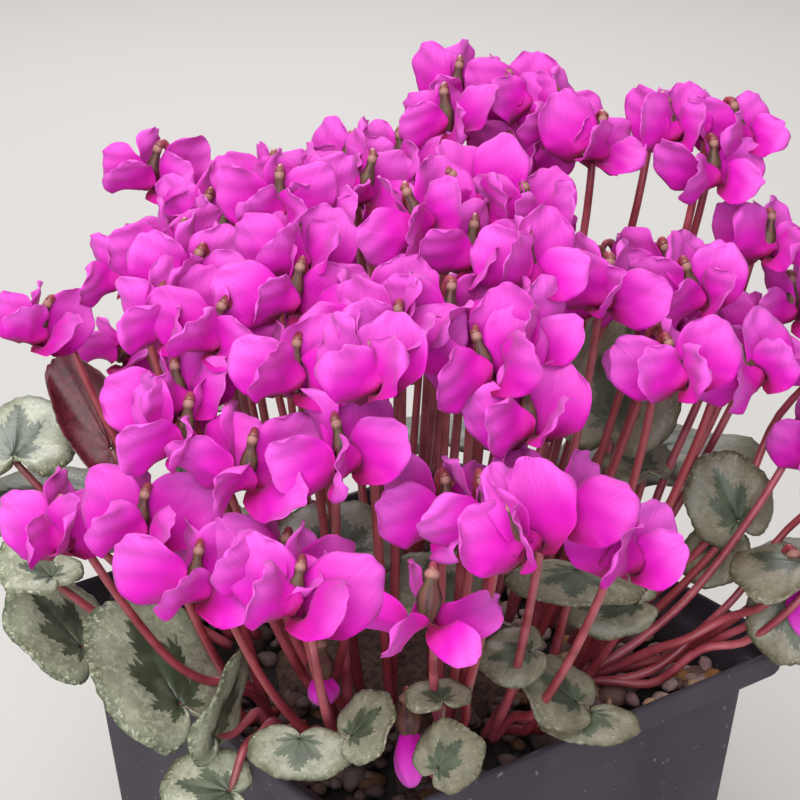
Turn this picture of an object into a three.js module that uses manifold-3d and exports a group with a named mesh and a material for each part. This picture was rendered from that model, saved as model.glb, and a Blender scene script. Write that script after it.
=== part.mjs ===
// A potted hardy cyclamen in flower. Millimetres, +Z up, origin at the centre of the pot's underside.
// A square plastic pot holds compost, a layer of grit and a flat tuber. Leaves on long stalks, shoots of
// hooked flower stems and a few buds come up round the tuber's crown, fan outwards and lean over the rim.
import * as THREE from "three";
import { mergeVertices } from "three/addons/utils/BufferGeometryUtils.js";
import Module from "manifold-3d";

const wasm = await Module();
wasm.setup();

// ---------------------------------------------------------------- driving dimensions
const POT = {
  height: 112, // base to rim
  width: 110, // outside of the rim
  rimDrop: 5.5, // height of the rim's band
  rimReach: 5, // how far the band stands out from the wall
  taper: 0.085, // how far the wall leans in, per mm of height
  wall: 1.3,
  floor: 2,
  cornerRound: 5,
  drainRadius: 4.5,
  drainSpacing: 26, // from the middle to each drain hole, along X and Y
};
const COMPOST_TOP = POT.height - 12;
const GRIT_TOP = POT.height - 7.5;
const CLEAR = 0.35; // gap left between pieces that touch
const TUBER = { radius: 30, thickness: 22, crownHeight: 2.5 }; // crownHeight: how far it shows above the grit

const STEM_RADIUS = 0.85;
const STALK_RADIUS = 1.0;
const STEM_SAG = 0.24; // how far a stem's middle hangs under the straight line, as a share of its reach
const STALK_SAG = 0.1;
const SHOOT_RADIUS = 2.1; // the short woody trunk that a shoot's flower stems share
const CROWN_SHARE = 0.5; // a shoot comes up this share of its flowers' distance from the pot's middle
const FOOT_RISE = 0.5; // how high a foot's middle is over the ground, as a share of its radius
const STALK_CIRCLE = 37; // leaf stalks come up on a circle of this radius
const BLADE_THICKNESS = 0.9;
// How stems and stalks are kept apart: rounds of pushing, how much of the shortfall each push makes up,
// points along each, the extra room they take, and how high they pass over the rim and the grit.
const SPREAD = { rounds: 80, push: 0.35, points: 7, room: 0.5, overRim: 3.6, overGrit: 2.4 };

// The mound of flowers is part of an ellipsoid over the pot.
const MOUND = { towardsView: 8, baseAboveRim: 15, halfWidth: 80, halfDepth: 86, height: 88 };
// Flowers whose hooks are closer than the spacing slide apart, each up to the reach either way.
const SLIDE = { rounds: 60, push: 0.2, spacing: 11.5, reach: 13 };
// A flower hangs from its hook. Its span grows by spanGain per mm nearer the view's side.
// Other flowers' stems are pushed out of its core.
const FLOWER = { span: 22.5, spanGain: 0.05, knob: 1, depth: 11.5, core: 5 };
// Petal lobes round the flower and the waists between them: share of the half span, level below the hook.
const LOBE = { upper: [1, 2], lower: [0.86, -6] };
const WAIST = { upper: [0.45, -2], lower: [0.4, -7] };

// Where the plant is seen from. A place that the picture shows is given by its pixel in the 800 x 800 frame.
const VIEW = {
  azimuth: THREE.MathUtils.degToRad(37.2),
  elevation: THREE.MathUtils.degToRad(29.2),
  distance: 480, // from the middle of the rim
  focalPixels: 2336,
  middlePixel: 400,
  aim: new THREE.Vector3(-2, 1, 161),
};

// Each shoot: the pixels of its flowers' hooks, the highest point of each flower.
const SHOOTS = [
  [[161, 149], [184, 228], [210, 197]],
  [[122, 248], [51, 304]],
  [[202, 253], [227, 208], [225, 306], [163, 292]],
  [[280, 175], [274, 159], [319, 173]],
  [[302, 267], [298, 343], [297, 229]],
  [[175, 366], [190, 403], [254, 439], [335, 423]],
  [[373, 159], [400, 135], [405, 192], [352, 140]],
  [[444, 92], [460, 65]],
  [[505, 74], [556, 96], [509, 138]],
  [[448, 176], [475, 224], [451, 286]],
  [[361, 287], [399, 310], [368, 345]],
  [[523, 187], [529, 241], [533, 313]],
  [[475, 336], [523, 389]],
  [[444, 479], [480, 480], [505, 508], [433, 573]],
  [[603, 120], [664, 101]],
  [[712, 143], [731, 106]],
  [[663, 247], [684, 266], [610, 262]],
  [[770, 217], [790, 279], [757, 318], [836, 350]],
  [[666, 343], [734, 347], [808, 424], [838, 482], [844, 540]],
  [[60, 505], [147, 494]],
  [[200, 550], [288, 538], [302, 566]],
  [[552, 476], [629, 523]],
];
// Shoots on the far side, by [sideways, towards the view] in mm from the pot's middle.
const FAR_SHOOTS = [
  [[-46, -38], [-30, -52], [-58, -44], [-44, -60], [-26, -69]],
  [[-10, -50], [-16, -62], [4, -60], [-8, -74], [10, -73]],
  [[24, -50], [30, -60], [42, -48], [56, -36], [27, -70], [50, -58]],
];
// Lower flowers inside the mound: the shoot each is on, counted from 0, its place as above, and its depth
// under the mound's top.
const INNER_FLOWERS = [
  { shoot: 3, place: [-34, -24], depth: 12 },
  { shoot: 7, place: [-12, -31], depth: 12 },
  { shoot: 14, place: [38, -28], depth: 14 },
  { shoot: 15, place: [54, -21], depth: 14 },
  { shoot: 11, place: [33, 4], depth: 18 },
  { shoot: 16, place: [46, 17], depth: 16 },
];
// Nodding buds: a profile of radii and levels under the hook, the hook's pixel and its height above the rim.
const BUD_PROFILE = [[0, -15], [2.6, -11], [3, -6], [1.8, -1], [0, 1]];
const BUDS = [
  { pixel: [407, 697], level: 17 },
  { pixel: [791, 554], level: 24 },
  { pixel: [318, 644], level: 24 },
];

// Leaves that the picture shows: pixels of the notch where the stalk joins and of the tip, with their
// heights above the rim, the blade's width as a share of its length, and its roll about the midrib.
const LEAVES = [
  { notch: [14, 458], tip: [20, 396], levels: [36, 38], broad: 0.78, roll: 0 },
  { notch: [112, 450], tip: [54, 352], levels: [36, 54], broad: 0.5, roll: 140 },
  { notch: [82, 648], tip: [14, 576], levels: [4, 17], broad: 1, roll: -8 },
  { notch: [52, 578], tip: [8, 540], levels: [24, 28], broad: 1.1, roll: 0 },
  { notch: [180, 705], tip: [108, 596], levels: [5, 22], broad: 1, roll: 0 },
  { notch: [214, 735], tip: [243, 640], levels: [6, 24], broad: 0.8, roll: 128 },
  { notch: [230, 792], tip: [160, 782], levels: [-3, -2], broad: 1.1, roll: -35 },
  { notch: [300, 738], tip: [296, 782], levels: [14, 8], broad: 2.1, roll: 0 },
  { notch: [352, 736], tip: [394, 700], levels: [15, 22], broad: 1.2, roll: 20 },
  { notch: [228, 556], tip: [240, 504], levels: [30, 36], broad: 1, roll: 0 },
  { notch: [345, 556], tip: [330, 500], levels: [34, 38], broad: 1.3, roll: 10 },
  { notch: [530, 652], tip: [476, 664], levels: [22, 20], broad: 1.1, roll: -25 },
  { notch: [442, 702], tip: [428, 678], levels: [24, 25], broad: 1.5, roll: 0 },
  { notch: [438, 768], tip: [474, 726], levels: [12, 24], broad: 0.7, roll: 100 },
  { notch: [576, 702], tip: [520, 666], levels: [10, 17], broad: 1.1, roll: -20 },
  { notch: [590, 712], tip: [588, 746], levels: [8, 4], broad: 2.4, roll: 0 },
  { notch: [576, 570], tip: [572, 606], levels: [30, 26], broad: 2.9, roll: 0 },
  { notch: [636, 604], tip: [560, 612], levels: [20, 18], broad: 0.75, roll: -35 },
  { notch: [646, 470], tip: [620, 434], levels: [34, 38], broad: 1.3, roll: 0 },
  { notch: [738, 522], tip: [708, 452], levels: [26, 40], broad: 0.95, roll: -60 },
  { notch: [726, 540], tip: [690, 584], levels: [20, 12], broad: 1, roll: -30 },
  { notch: [612, 420], tip: [640, 296], levels: [44, 66], broad: 0.9, roll: 0 },
  { notch: [790, 596], tip: [798, 668], levels: [16, 4], broad: 1.1, roll: 15 },
  { notch: [802, 562], tip: [732, 558], levels: [24, 22], broad: 1.7, roll: 0 },
  { notch: [440, 600], tip: [424, 548], levels: [24, 30], broad: 1.5, roll: 0 },
];
// Leaves on the far side, in groups on one foot: direction and reach of the notch from the pot's middle, and
// height above the rim.
const FAR_LEAVES = [
  [
    { bearing: -8, reach: 57, level: 25, length: 28 },
    { bearing: 12, reach: 62, level: 11, length: 27 },
    { bearing: 30, reach: 58, level: 26, length: 28 },
  ],
  [
    { bearing: 48, reach: 62, level: 11, length: 27 },
    { bearing: 66, reach: 57, level: 28, length: 29 },
    { bearing: 86, reach: 62, level: 13, length: 28 },
  ],
  [
    { bearing: 106, reach: 58, level: 29, length: 27 },
    { bearing: 122, reach: 64, level: 12, length: 27 },
    { bearing: 140, reach: 64, level: 27, length: 28 },
  ],
];

// ---------------------------------------------------------------- geometry and solids
const UP = new THREE.Vector3(0, 0, 1);
const RIGHT = new THREE.Vector3(Math.cos(VIEW.azimuth), -Math.sin(VIEW.azimuth), 0);
const TOWARDS = new THREE.Vector3(-Math.sin(VIEW.azimuth), -Math.cos(VIEW.azimuth), 0);
const RIM_MIDDLE = new THREE.Vector3(0, 0, POT.height);
const EYE = RIM_MIDDLE.clone()
  .addScaledVector(TOWARDS, VIEW.distance * Math.cos(VIEW.elevation))
  .addScaledVector(UP, VIEW.distance * Math.sin(VIEW.elevation));

// The direction from the eye through a pixel.
function sightLine([u, v]) {
  const ahead = VIEW.aim.clone().sub(EYE).normalize();
  const across = ahead.clone().cross(UP).normalize();
  const upwards = across.clone().cross(ahead);
  return ahead
    .addScaledVector(across, (u - VIEW.middlePixel) / VIEW.focalPixels)
    .addScaledVector(upwards, (VIEW.middlePixel - v) / VIEW.focalPixels)
    .normalize();
}

// The point that a pixel shows at a height above the rim.
function atLevel(pixel, level) {
  const line = sightLine(pixel);
  return EYE.clone().addScaledVector(line, (POT.height + level - EYE.z) / line.z);
}

// The point that a pixel shows on the mound of flowers: the near root of a quadratic, or the closest pass.
function onMound(pixel) {
  const line = sightLine(pixel);
  const scaled = (p) =>
    new THREE.Vector3(p.dot(RIGHT) / MOUND.halfWidth, p.dot(TOWARDS) / MOUND.halfDepth, p.z / MOUND.height);
  const middle = RIM_MIDDLE.clone()
    .addScaledVector(TOWARDS, MOUND.towardsView)
    .addScaledVector(UP, MOUND.baseAboveRim);
  const start = scaled(EYE.clone().sub(middle));
  const step = scaled(line);
  const half = start.dot(step);
  const square = step.dot(step);
  const inside = Math.max(half * half - square * (start.dot(start) - 1), 0);
  return EYE.clone().addScaledVector(line, (-half - Math.sqrt(inside)) / square);
}

// The point on the mound straight above a place given sideways and towards the view.
function onMoundAbove([sideways, towards]) {
  const across = sideways / MOUND.halfWidth;
  const along = (towards - MOUND.towardsView) / MOUND.halfDepth;
  const level = MOUND.baseAboveRim + MOUND.height * Math.sqrt(1 - across * across - along * along);
  return new THREE.Vector3(0, 0, POT.height + level)
    .addScaledVector(RIGHT, sideways)
    .addScaledVector(TOWARDS, towards);
}

function solidOf(geometry) {
  const bare = geometry.clone();
  bare.deleteAttribute("normal");
  bare.deleteAttribute("uv");
  const merged = mergeVertices(bare, 1e-4);
  return new wasm.Manifold(
    new wasm.Mesh({
      numProp: 3,
      vertProperties: new Float32Array(merged.attributes.position.array),
      triVerts: new Uint32Array(merged.index.array),
    }),
  );
}

function geometryOf(solid) {
  const mesh = solid.getMesh();
  const points = new Float32Array(mesh.numVert * 3);
  for (let i = 0; i < mesh.numVert; i++)
    points.set(mesh.vertProperties.subarray(i * mesh.numProp, i * mesh.numProp + 3), i * 3);
  const geometry = new THREE.BufferGeometry();
  geometry.setAttribute("position", new THREE.BufferAttribute(points, 3));
  geometry.setIndex(new THREE.BufferAttribute(new Uint32Array(mesh.triVerts), 1));
  return geometry;
}

// What is left of a solid after cuts, without the slivers: its largest piece.
function largest(solid) {
  return solid.decompose().reduce((a, b) => (b.volume() > a.volume() ? b : a));
}

// A closed surface through rings of points between two poles. The rings run anticlockwise from above,
// and the first pole is the upper one.
function ringed(topPole, rings, bottomPole) {
  const sides = rings[0].length;
  const points = [topPole, ...rings.flat(), bottomPole];
  const at = (ring, side) => 1 + ring * sides + (side % sides);
  const last = points.length - 1;
  const faces = [];
  for (let s = 0; s < sides; s++) {
    faces.push(0, at(0, s), at(0, s + 1));
    for (let r = 0; r + 1 < rings.length; r++) {
      faces.push(at(r, s), at(r + 1, s), at(r + 1, s + 1));
      faces.push(at(r, s), at(r + 1, s + 1), at(r, s + 1));
    }
    faces.push(last, at(rings.length - 1, s + 1), at(rings.length - 1, s));
  }
  const geometry = new THREE.BufferGeometry().setFromPoints(points);
  geometry.setIndex(faces);
  return geometry;
}

// A tube of a polygon section along a curve.
function tube(points, radius, sides, steps) {
  const section = new THREE.Shape();
  for (let i = 0; i < sides; i++) {
    const turn = (2 * Math.PI * i) / sides;
    if (i === 0) section.moveTo(radius * Math.cos(turn), radius * Math.sin(turn));
    else section.lineTo(radius * Math.cos(turn), radius * Math.sin(turn));
  }
  const path = new THREE.CatmullRomCurve3(points, false, "centripetal");
  return new THREE.ExtrudeGeometry(section, { steps, bevelEnabled: false, extrudePath: path });
}

function roundedSquare(width, round) {
  const half = width / 2;
  const shape = new THREE.Shape();
  shape.moveTo(-half + round, -half);
  shape.lineTo(half - round, -half);
  shape.absarc(half - round, -half + round, round, -Math.PI / 2, 0);
  shape.lineTo(half, half - round);
  shape.absarc(half - round, half - round, round, 0, Math.PI / 2);
  shape.lineTo(-half + round, half);
  shape.absarc(-half + round, half - round, round, Math.PI / 2, Math.PI);
  shape.lineTo(-half, -half + round);
  shape.absarc(-half + round, -half + round, round, Math.PI, 1.5 * Math.PI);
  return shape;
}

// A block of rounded-square section between two heights, its width changing evenly from one to the other.
function taperedBlock(low, widthLow, high, widthHigh) {
  const geometry = new THREE.ExtrudeGeometry(roundedSquare(widthHigh, POT.cornerRound), {
    depth: high - low,
    bevelEnabled: false,
    curveSegments: 3,
  });
  const place = geometry.attributes.position;
  for (let i = 0; i < place.count; i++) {
    const share = place.getZ(i) / (high - low);
    const scale = (widthLow + (widthHigh - widthLow) * share) / widthHigh;
    place.setXYZ(i, place.getX(i) * scale, place.getY(i) * scale, place.getZ(i) + low);
  }
  return geometry;
}

// ---------------------------------------------------------------- pot, compost, grit and tuber
const wallWidthAt = (z) => POT.width - 2 * POT.rimReach - 2 * POT.taper * (POT.height - z);
const boreWidthAt = (z) => wallWidthAt(z) - 2 * POT.wall;
const bandLow = POT.height - POT.rimDrop;

// The pot: a tapered square shell with a plain band round its rim and four drain holes in its floor.
function makePot() {
  const outside = solidOf(taperedBlock(0, wallWidthAt(0), POT.height, wallWidthAt(POT.height)));
  const band = solidOf(taperedBlock(bandLow, POT.width - 0.8, POT.height, POT.width));
  const inside = solidOf(
    taperedBlock(POT.floor, boreWidthAt(POT.floor), POT.height + 1, boreWidthAt(POT.height + 1)),
  );
  // The wall steps out behind the band, so that the band is no thicker than the wall.
  const bandBore = POT.width - 2 * POT.wall;
  const insideBand = solidOf(taperedBlock(bandLow + POT.wall, bandBore - 1, POT.height + 1, bandBore));
  let pot = outside.add(band).subtract(inside).subtract(insideBand);
  for (const x of [-1, 1])
    for (const y of [-1, 1]) {
      const drain = new THREE.CylinderGeometry(POT.drainRadius, POT.drainRadius, 4 * POT.floor, 12);
      drain.rotateX(Math.PI / 2).translate(x * POT.drainSpacing, y * POT.drainSpacing, 0);
      pot = pot.subtract(solidOf(drain));
    }
  return pot;
}

// The tuber: a flattened globe, its crown a little above the grit.
function tuberProfile(grow) {
  const top = GRIT_TOP + TUBER.crownHeight + grow;
  const half = TUBER.thickness / 2 + grow;
  const points = [];
  const steps = 6;
  for (let i = 0; i <= steps; i++) {
    const turn = -Math.PI / 2 + (Math.PI * i) / steps;
    const radius = i === 0 || i === steps ? 0 : (TUBER.radius + grow) * Math.cos(turn) ** 0.6;
    points.push(new THREE.Vector2(radius, top - half + half * Math.sin(turn)));
  }
  return points;
}
const makeTuber = (grow) => solidOf(new THREE.LatheGeometry(tuberProfile(grow), 14).rotateX(Math.PI / 2));

// What fills the pot between two heights, round the tuber.
function filling(low, high) {
  const block = taperedBlock(low, boreWidthAt(low) - 2 * CLEAR, high, boreWidthAt(high) - 2 * CLEAR);
  return solidOf(block).subtract(makeTuber(CLEAR));
}
const makeCompost = () => filling(POT.floor + CLEAR, COMPOST_TOP);
const makeGrit = () => filling(COMPOST_TOP + CLEAR, GRIT_TOP);

// ---------------------------------------------------------------- flowers, buds and leaves
const CROWN_LEVEL = GRIT_TOP + TUBER.crownHeight;
const towardsView = (p) => p.dot(TOWARDS);

// The height of the tuber's upper side at a distance from its middle.
function crownAt(distance) {
  const share = Math.min(distance / TUBER.radius, 1) ** (1 / 0.6);
  return CROWN_LEVEL - (TUBER.thickness / 2) * (1 - Math.sqrt(1 - share * share));
}

// A strand runs out low over the ground from its foot and then turns upwards: its middle hangs under the
// straight line, by more the further out its top is.
function strandPoints(foot, top, sag) {
  const reach = Math.hypot(top.x - foot.x, top.y - foot.y);
  return Array.from({ length: SPREAD.points }, (_, i) => {
    const share = i / (SPREAD.points - 1);
    const under = 4 * share * (1 - share) * sag * reach;
    return foot.clone().lerp(top, share).addScaledVector(UP, -under);
  });
}

// The head of a flower: five fat petal lobes round a nodding tube that hangs from the hook.
function headGeometry(hook, span, grow) {
  const phase = Math.atan2(hook.y, hook.x) + Math.PI;
  const ring = (shape) =>
    Array.from({ length: 10 }, (_, i) => {
      const turn = phase + (Math.PI * i) / 5;
      const [radius, level] = shape[i % 2];
      return new THREE.Vector3(radius * Math.cos(turn), radius * Math.sin(turn), level).add(hook);
    });
  const petals = (side, rise) =>
    [LOBE, WAIST].map((part) => [(span / 2) * part[side][0] + grow, part[side][1] + rise]);
  return ringed(
    hook.clone().addScaledVector(UP, FLOWER.knob + grow),
    [ring(petals("upper", grow)), ring(petals("lower", -grow))],
    hook.clone().addScaledVector(UP, -FLOWER.depth - grow),
  );
}

// Both sides of a leaf blade about its notch, from heart-shaped outline points and a thickness.
function bladeGeometry(leaf, grow) {
  const { notch, along, across, normal, length, broad } = leaf;
  const outline = [];
  const count = 14;
  for (let i = 0; i < count; i++) {
    const turn = Math.PI * ((2 * i + 1) / count - 1);
    const reach = heartReach(turn) * length + grow;
    const forwards = reach * Math.cos(turn) + 0.08 * length;
    const sidewards = 0.8 * reach * Math.sin(turn) * broad;
    outline.push([forwards, sidewards]);
  }
  const half = BLADE_THICKNESS / 2 + grow;
  const droop = (s) => -0.05 * Math.abs(s);
  const ring = (offset) =>
    outline.map(([f, s]) =>
      notch
        .clone()
        .addScaledVector(along, f)
        .addScaledVector(across, s)
        .addScaledVector(normal, droop(s) + offset),
    );
  const middle = notch.clone().addScaledVector(along, 0.08 * length);
  return ringed(
    middle.clone().addScaledVector(normal, half),
    [ring(half), ring(-half)],
    middle.clone().addScaledVector(normal, -half),
  );
}

// The outline's distance from the stalk for a direction off the midrib: round, with a notch behind.
function heartReach(turn) {
  return 0.22 + 0.64 * Math.cos(turn / 2) ** 1.1;
}

// A leaf's frame: the midrib's direction, the blade's normal and the way across, turned by its roll.
function leafFrame(notch, tip, broad, rollDegrees) {
  const along = tip.clone().sub(notch);
  const length = along.length() * 1.06;
  along.normalize();
  const level = UP.clone().cross(along).normalize();
  const across = level.applyAxisAngle(along, THREE.MathUtils.degToRad(rollDegrees));
  const normal = along.clone().cross(across);
  return { notch, along, across, normal, length, broad };
}

const pixelLeaf = ({ notch, tip, levels, broad, roll }) =>
  leafFrame(atLevel(notch, levels[0]), atLevel(tip, levels[1]), broad, roll);

function farLeaf({ bearing, reach, level, length }) {
  const turn = THREE.MathUtils.degToRad(bearing);
  const out = new THREE.Vector3(Math.cos(turn), Math.sin(turn), 0);
  const notch = out.clone().multiplyScalar(reach);
  notch.z = POT.height + level;
  const tip = notch.clone().addScaledVector(out, length * 0.94).addScaledVector(UP, -length * 0.12);
  return leafFrame(notch, tip, 1.05, 0);
}

// ---------------------------------------------------------------- places of all the pieces
// Flowers in view are on the mound. Close ones slide apart along their lines of sight, the lower one nearer.
const seen = SHOOTS.map((shoot) =>
  shoot.map((pixel) => ({ pixel, line: sightLine(pixel), hook: onMound(pixel), slid: 0 })),
);
function slide(flower, step) {
  const slid = Math.min(Math.max(flower.slid + step, -SLIDE.reach), SLIDE.reach);
  flower.hook.addScaledVector(flower.line, slid - flower.slid);
  flower.slid = slid;
}
for (let round = 0; round < SLIDE.rounds; round++) {
  const flowers = seen.flat();
  const steps = flowers.map(() => 0);
  flowers.forEach((one, i) => {
    for (let j = i + 1; j < flowers.length; j++) {
      const step = SLIDE.push * Math.max(SLIDE.spacing - one.hook.distanceTo(flowers[j].hook), 0);
      const nearer = one.pixel[1] >= flowers[j].pixel[1] ? 1 : -1;
      steps[i] -= nearer * step;
      steps[j] += nearer * step;
    }
  });
  flowers.forEach((flower, i) => slide(flower, steps[i]));
}
const shoots = [...seen.map((s) => s.map(({ hook }) => hook)), ...FAR_SHOOTS.map((s) => s.map(onMoundAbove))];
for (const { shoot, place, depth } of INNER_FLOWERS)
  shoots[shoot].push(onMoundAbove(place).addScaledVector(UP, -depth));
const leafGroups = [...LEAVES.map((leaf) => [leaf].map(pixelLeaf)), ...FAR_LEAVES.map((g) => g.map(farLeaf))];
const leaves = leafGroups.flatMap((group, owner) => group.map((leaf) => ({ ...leaf, owner })));
const buds = BUDS.map(({ pixel, level }) => [atLevel(pixel, level)]);
const spanOf = (hook) => FLOWER.span + FLOWER.spanGain * Math.max(towardsView(hook), 0);

// Feet push each other apart sideways. Leaf stalks stay on their circle.
function spreadFeet(feet) {
  for (let round = 0; round < SPREAD.rounds; round++) {
    for (const foot of feet) foot.push = new THREE.Vector3();
    feet.forEach((one, i) => {
      for (const other of feet.slice(i + 1)) {
        const between = one.place.clone().sub(other.place);
        const short = one.radius + other.radius + CLEAR + SPREAD.room - between.length();
        between.setLength(SPREAD.push * Math.max(short, 0));
        one.push.add(between);
        other.push.sub(between);
      }
    });
    for (const { place, push, circle } of feet) {
      place.add(push);
      if (circle) place.setLength(circle);
    }
  }
  for (const { place, radius } of feet)
    place.z = Math.max(crownAt(place.length()), GRIT_TOP) + CLEAR + radius * FOOT_RISE;
}
const flat = (p, share) => new THREE.Vector3(p.x * share, p.y * share, 0);
const sumOf = (points) => points.reduce((sum, p) => sum.add(p), new THREE.Vector3());
const trunks = [...shoots, ...buds].map((hooks) => ({
  place: flat(sumOf(hooks), CROWN_SHARE / hooks.length),
  radius: SHOOT_RADIUS,
}));
const stalkFeet = leafGroups.map((group) => ({
  place: flat(sumOf(group.map(({ notch }) => notch)), 1).setLength(STALK_CIRCLE),
  radius: STALK_RADIUS * 1.3,
  circle: STALK_CIRCLE,
}));
spreadFeet([...trunks, ...stalkFeet]);

// Every stem and stalk as a line of points with a radius. The flowers' tubes are strands that don't move.
const strands = [];
[...shoots, ...buds].forEach((hooks, owner) =>
  hooks.forEach((hook) => {
    const foot = trunks[owner].place.clone().addScaledVector(UP, SHOOT_RADIUS * 0.4);
    strands.push({ owner, radius: STEM_RADIUS, points: strandPoints(foot, hook, STEM_SAG) });
    const mouth = hook.clone().addScaledVector(UP, 2 - FLOWER.depth);
    strands.push({ owner, radius: FLOWER.core, points: [hook, mouth], still: true });
  }),
);
for (const { notch, owner } of leaves) {
  const points = strandPoints(stalkFeet[owner].place, notch, STALK_SAG);
  strands.push({ owner: trunks.length + owner, radius: STALK_RADIUS, points });
}

// Where two stretches of line come closest: the shares along each.
function closestShares(a, b, c, d) {
  const u = b.clone().sub(a);
  const v = d.clone().sub(c);
  const w = a.clone().sub(c);
  const [uu, uv, vv, uw, vw] = [u.dot(u), u.dot(v), v.dot(v), u.dot(w), v.dot(w)];
  const clamp = (x) => Math.min(Math.max(x, 0), 1);
  const s = clamp((uv * vw - vv * uw) / Math.max(uu * vv - uv * uv, 1e-9));
  const t = clamp((uv * s + vw) / vv);
  return [clamp((uv * t - uw) / uu), t];
}

// Adds to the pushes of a stretch's two ends their shares of a push.
function pushStretch({ pushes }, index, share, push) {
  pushes[index].addScaledVector(push, 1 - share);
  pushes[index + 1].addScaledVector(push, share);
}

// Where two strands are closer than their radii and gap, each is pushed from the other.
function pushApart(one, other) {
  const need = one.radius + other.radius + CLEAR + SPREAD.room;
  for (let i = 0; i + 1 < one.points.length; i++)
    for (let j = 0; j + 1 < other.points.length; j++) {
      const [a, b, c, d] = [one.points[i], one.points[i + 1], other.points[j], other.points[j + 1]];
      const [s, t] = closestShares(a, b, c, d);
      const between = a.clone().lerp(b, s).sub(c.clone().lerp(d, t));
      const short = need - between.length();
      if (short <= 0) continue;
      between.setLength(short * SPREAD.push);
      pushStretch(one, i, s, between);
      pushStretch(other, j, t, between.negate());
    }
}

// Inner points of a strand stay over the grit and pass over the pot's rim.
function keepOverPot(p) {
  const out = Math.max(Math.abs(p.x), Math.abs(p.y));
  const overRim = out > POT.width / 2 - POT.rimReach - 5 && out < POT.width / 2 + 6;
  p.z = Math.max(p.z, overRim ? POT.height + SPREAD.overRim : GRIT_TOP + SPREAD.overGrit);
}

for (let round = 0; round < SPREAD.rounds; round++) {
  for (const strand of strands) strand.pushes = strand.points.map(() => new THREE.Vector3());
  strands.forEach((one, i) => {
    for (const other of strands.slice(i + 1))
      if (other.owner !== one.owner && !(one.still && other.still)) pushApart(one, other);
  });
  for (const { points, pushes, still } of strands)
    for (let i = 1; i + 1 < points.length && !still; i++) keepOverPot(points[i].add(pushes[i]));
}

// ---------------------------------------------------------------- solids that keep clear of each other
const grown = (strand, grow) => solidOf(tube(strand.points, strand.radius + grow, 4, SPREAD.points - 1));
const movable = (owner) => strands.filter((strand) => strand.owner === owner && !strand.still);

// The stems of one shoot on the short trunk that they share, or one leaf's stalk.
function stemSolid(owner, grow) {
  const stems = movable(owner).map((strand) => grown(strand, grow));
  if (owner < trunks.length) {
    const trunk = new THREE.IcosahedronGeometry(SHOOT_RADIUS + grow, 0);
    stems.push(solidOf(trunk.translate(...trunks[owner].place.toArray())));
  }
  return stems.reduce((joined, stem) => joined.add(stem));
}

// Stems and stalks end on the tuber and the grit.
const gritWidth = boreWidthAt(GRIT_TOP);
const ground = makeTuber(CLEAR).add(
  solidOf(taperedBlock(COMPOST_TOP, gritWidth, GRIT_TOP + CLEAR, gritWidth)),
);
const owners = trunks.length + leafGroups.length;
const stemSolids = Array.from({ length: owners }, (_, i) => largest(stemSolid(i, 0).subtract(ground)));
const stemRooms = Array.from({ length: owners }, (_, i) => stemSolid(i, CLEAR));
const clearOfStems = (solid, owner) =>
  stemRooms.reduce((left, room, other) => (other === owner ? left : left.subtract(room)), solid);

// Keeps the side of a head that lies on its own side of the plane midway to a neighbour's head.
function trimmedAtMidway(head, hook, neighbour) {
  const normal = hook.clone().sub(neighbour).normalize();
  const middle = hook.clone().add(neighbour).multiplyScalar(0.5);
  return head.trimByPlane(normal.toArray(), normal.dot(middle) + CLEAR / 2);
}

function shootSolid(index) {
  const heads = shoots[index].map((hook) => {
    let head = solidOf(headGeometry(hook, spanOf(hook), 0));
    shoots.forEach((others, other) => {
      for (const neighbour of others)
        if (other !== index && neighbour.distanceTo(hook) < spanOf(hook) + 5)
          head = trimmedAtMidway(head, hook, neighbour);
    });
    return largest(clearOfStems(head, index));
  });
  return largest(heads.reduce((joined, head) => joined.add(head), stemSolids[index]));
}

function budSolid(index) {
  const [hook] = buds[index];
  const points = BUD_PROFILE.map(([radius, level]) => new THREE.Vector2(radius, level));
  const bud = new THREE.LatheGeometry(points, 8).rotateX(Math.PI / 2).translate(hook.x, hook.y, hook.z);
  return stemSolids[shoots.length + index].add(clearOfStems(solidOf(bud), shoots.length + index));
}

// What leaf blades stay out of: the pot with its compost, and the flowers and buds.
const potRooms = [
  solidOf(taperedBlock(0, wallWidthAt(0) + 2 * CLEAR, POT.height, wallWidthAt(POT.height) + 2 * CLEAR)),
  solidOf(taperedBlock(bandLow - CLEAR, POT.width, POT.height + CLEAR, POT.width + 2 * CLEAR)),
];
const headRooms = shoots.flat().map((hook) => solidOf(headGeometry(hook, spanOf(hook), CLEAR)));
const budRooms = buds.map((_, i) => largest(budSolid(i)));

function bladeSolid(leaf, index) {
  let blade = solidOf(bladeGeometry(leaf, 0));
  for (const room of [...potRooms, ...headRooms, ...budRooms]) blade = blade.subtract(room);
  for (const before of leaves.slice(0, index)) blade = blade.subtract(solidOf(bladeGeometry(before, CLEAR)));
  return largest(clearOfStems(blade, trunks.length + leaf.owner));
}
const blades = leaves.map(bladeSolid);

function leafSolid(group) {
  const own = blades.filter((_, i) => leaves[i].owner === group);
  return largest(own.reduce((joined, blade) => joined.add(blade), stemSolids[trunks.length + group]));
}

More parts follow.
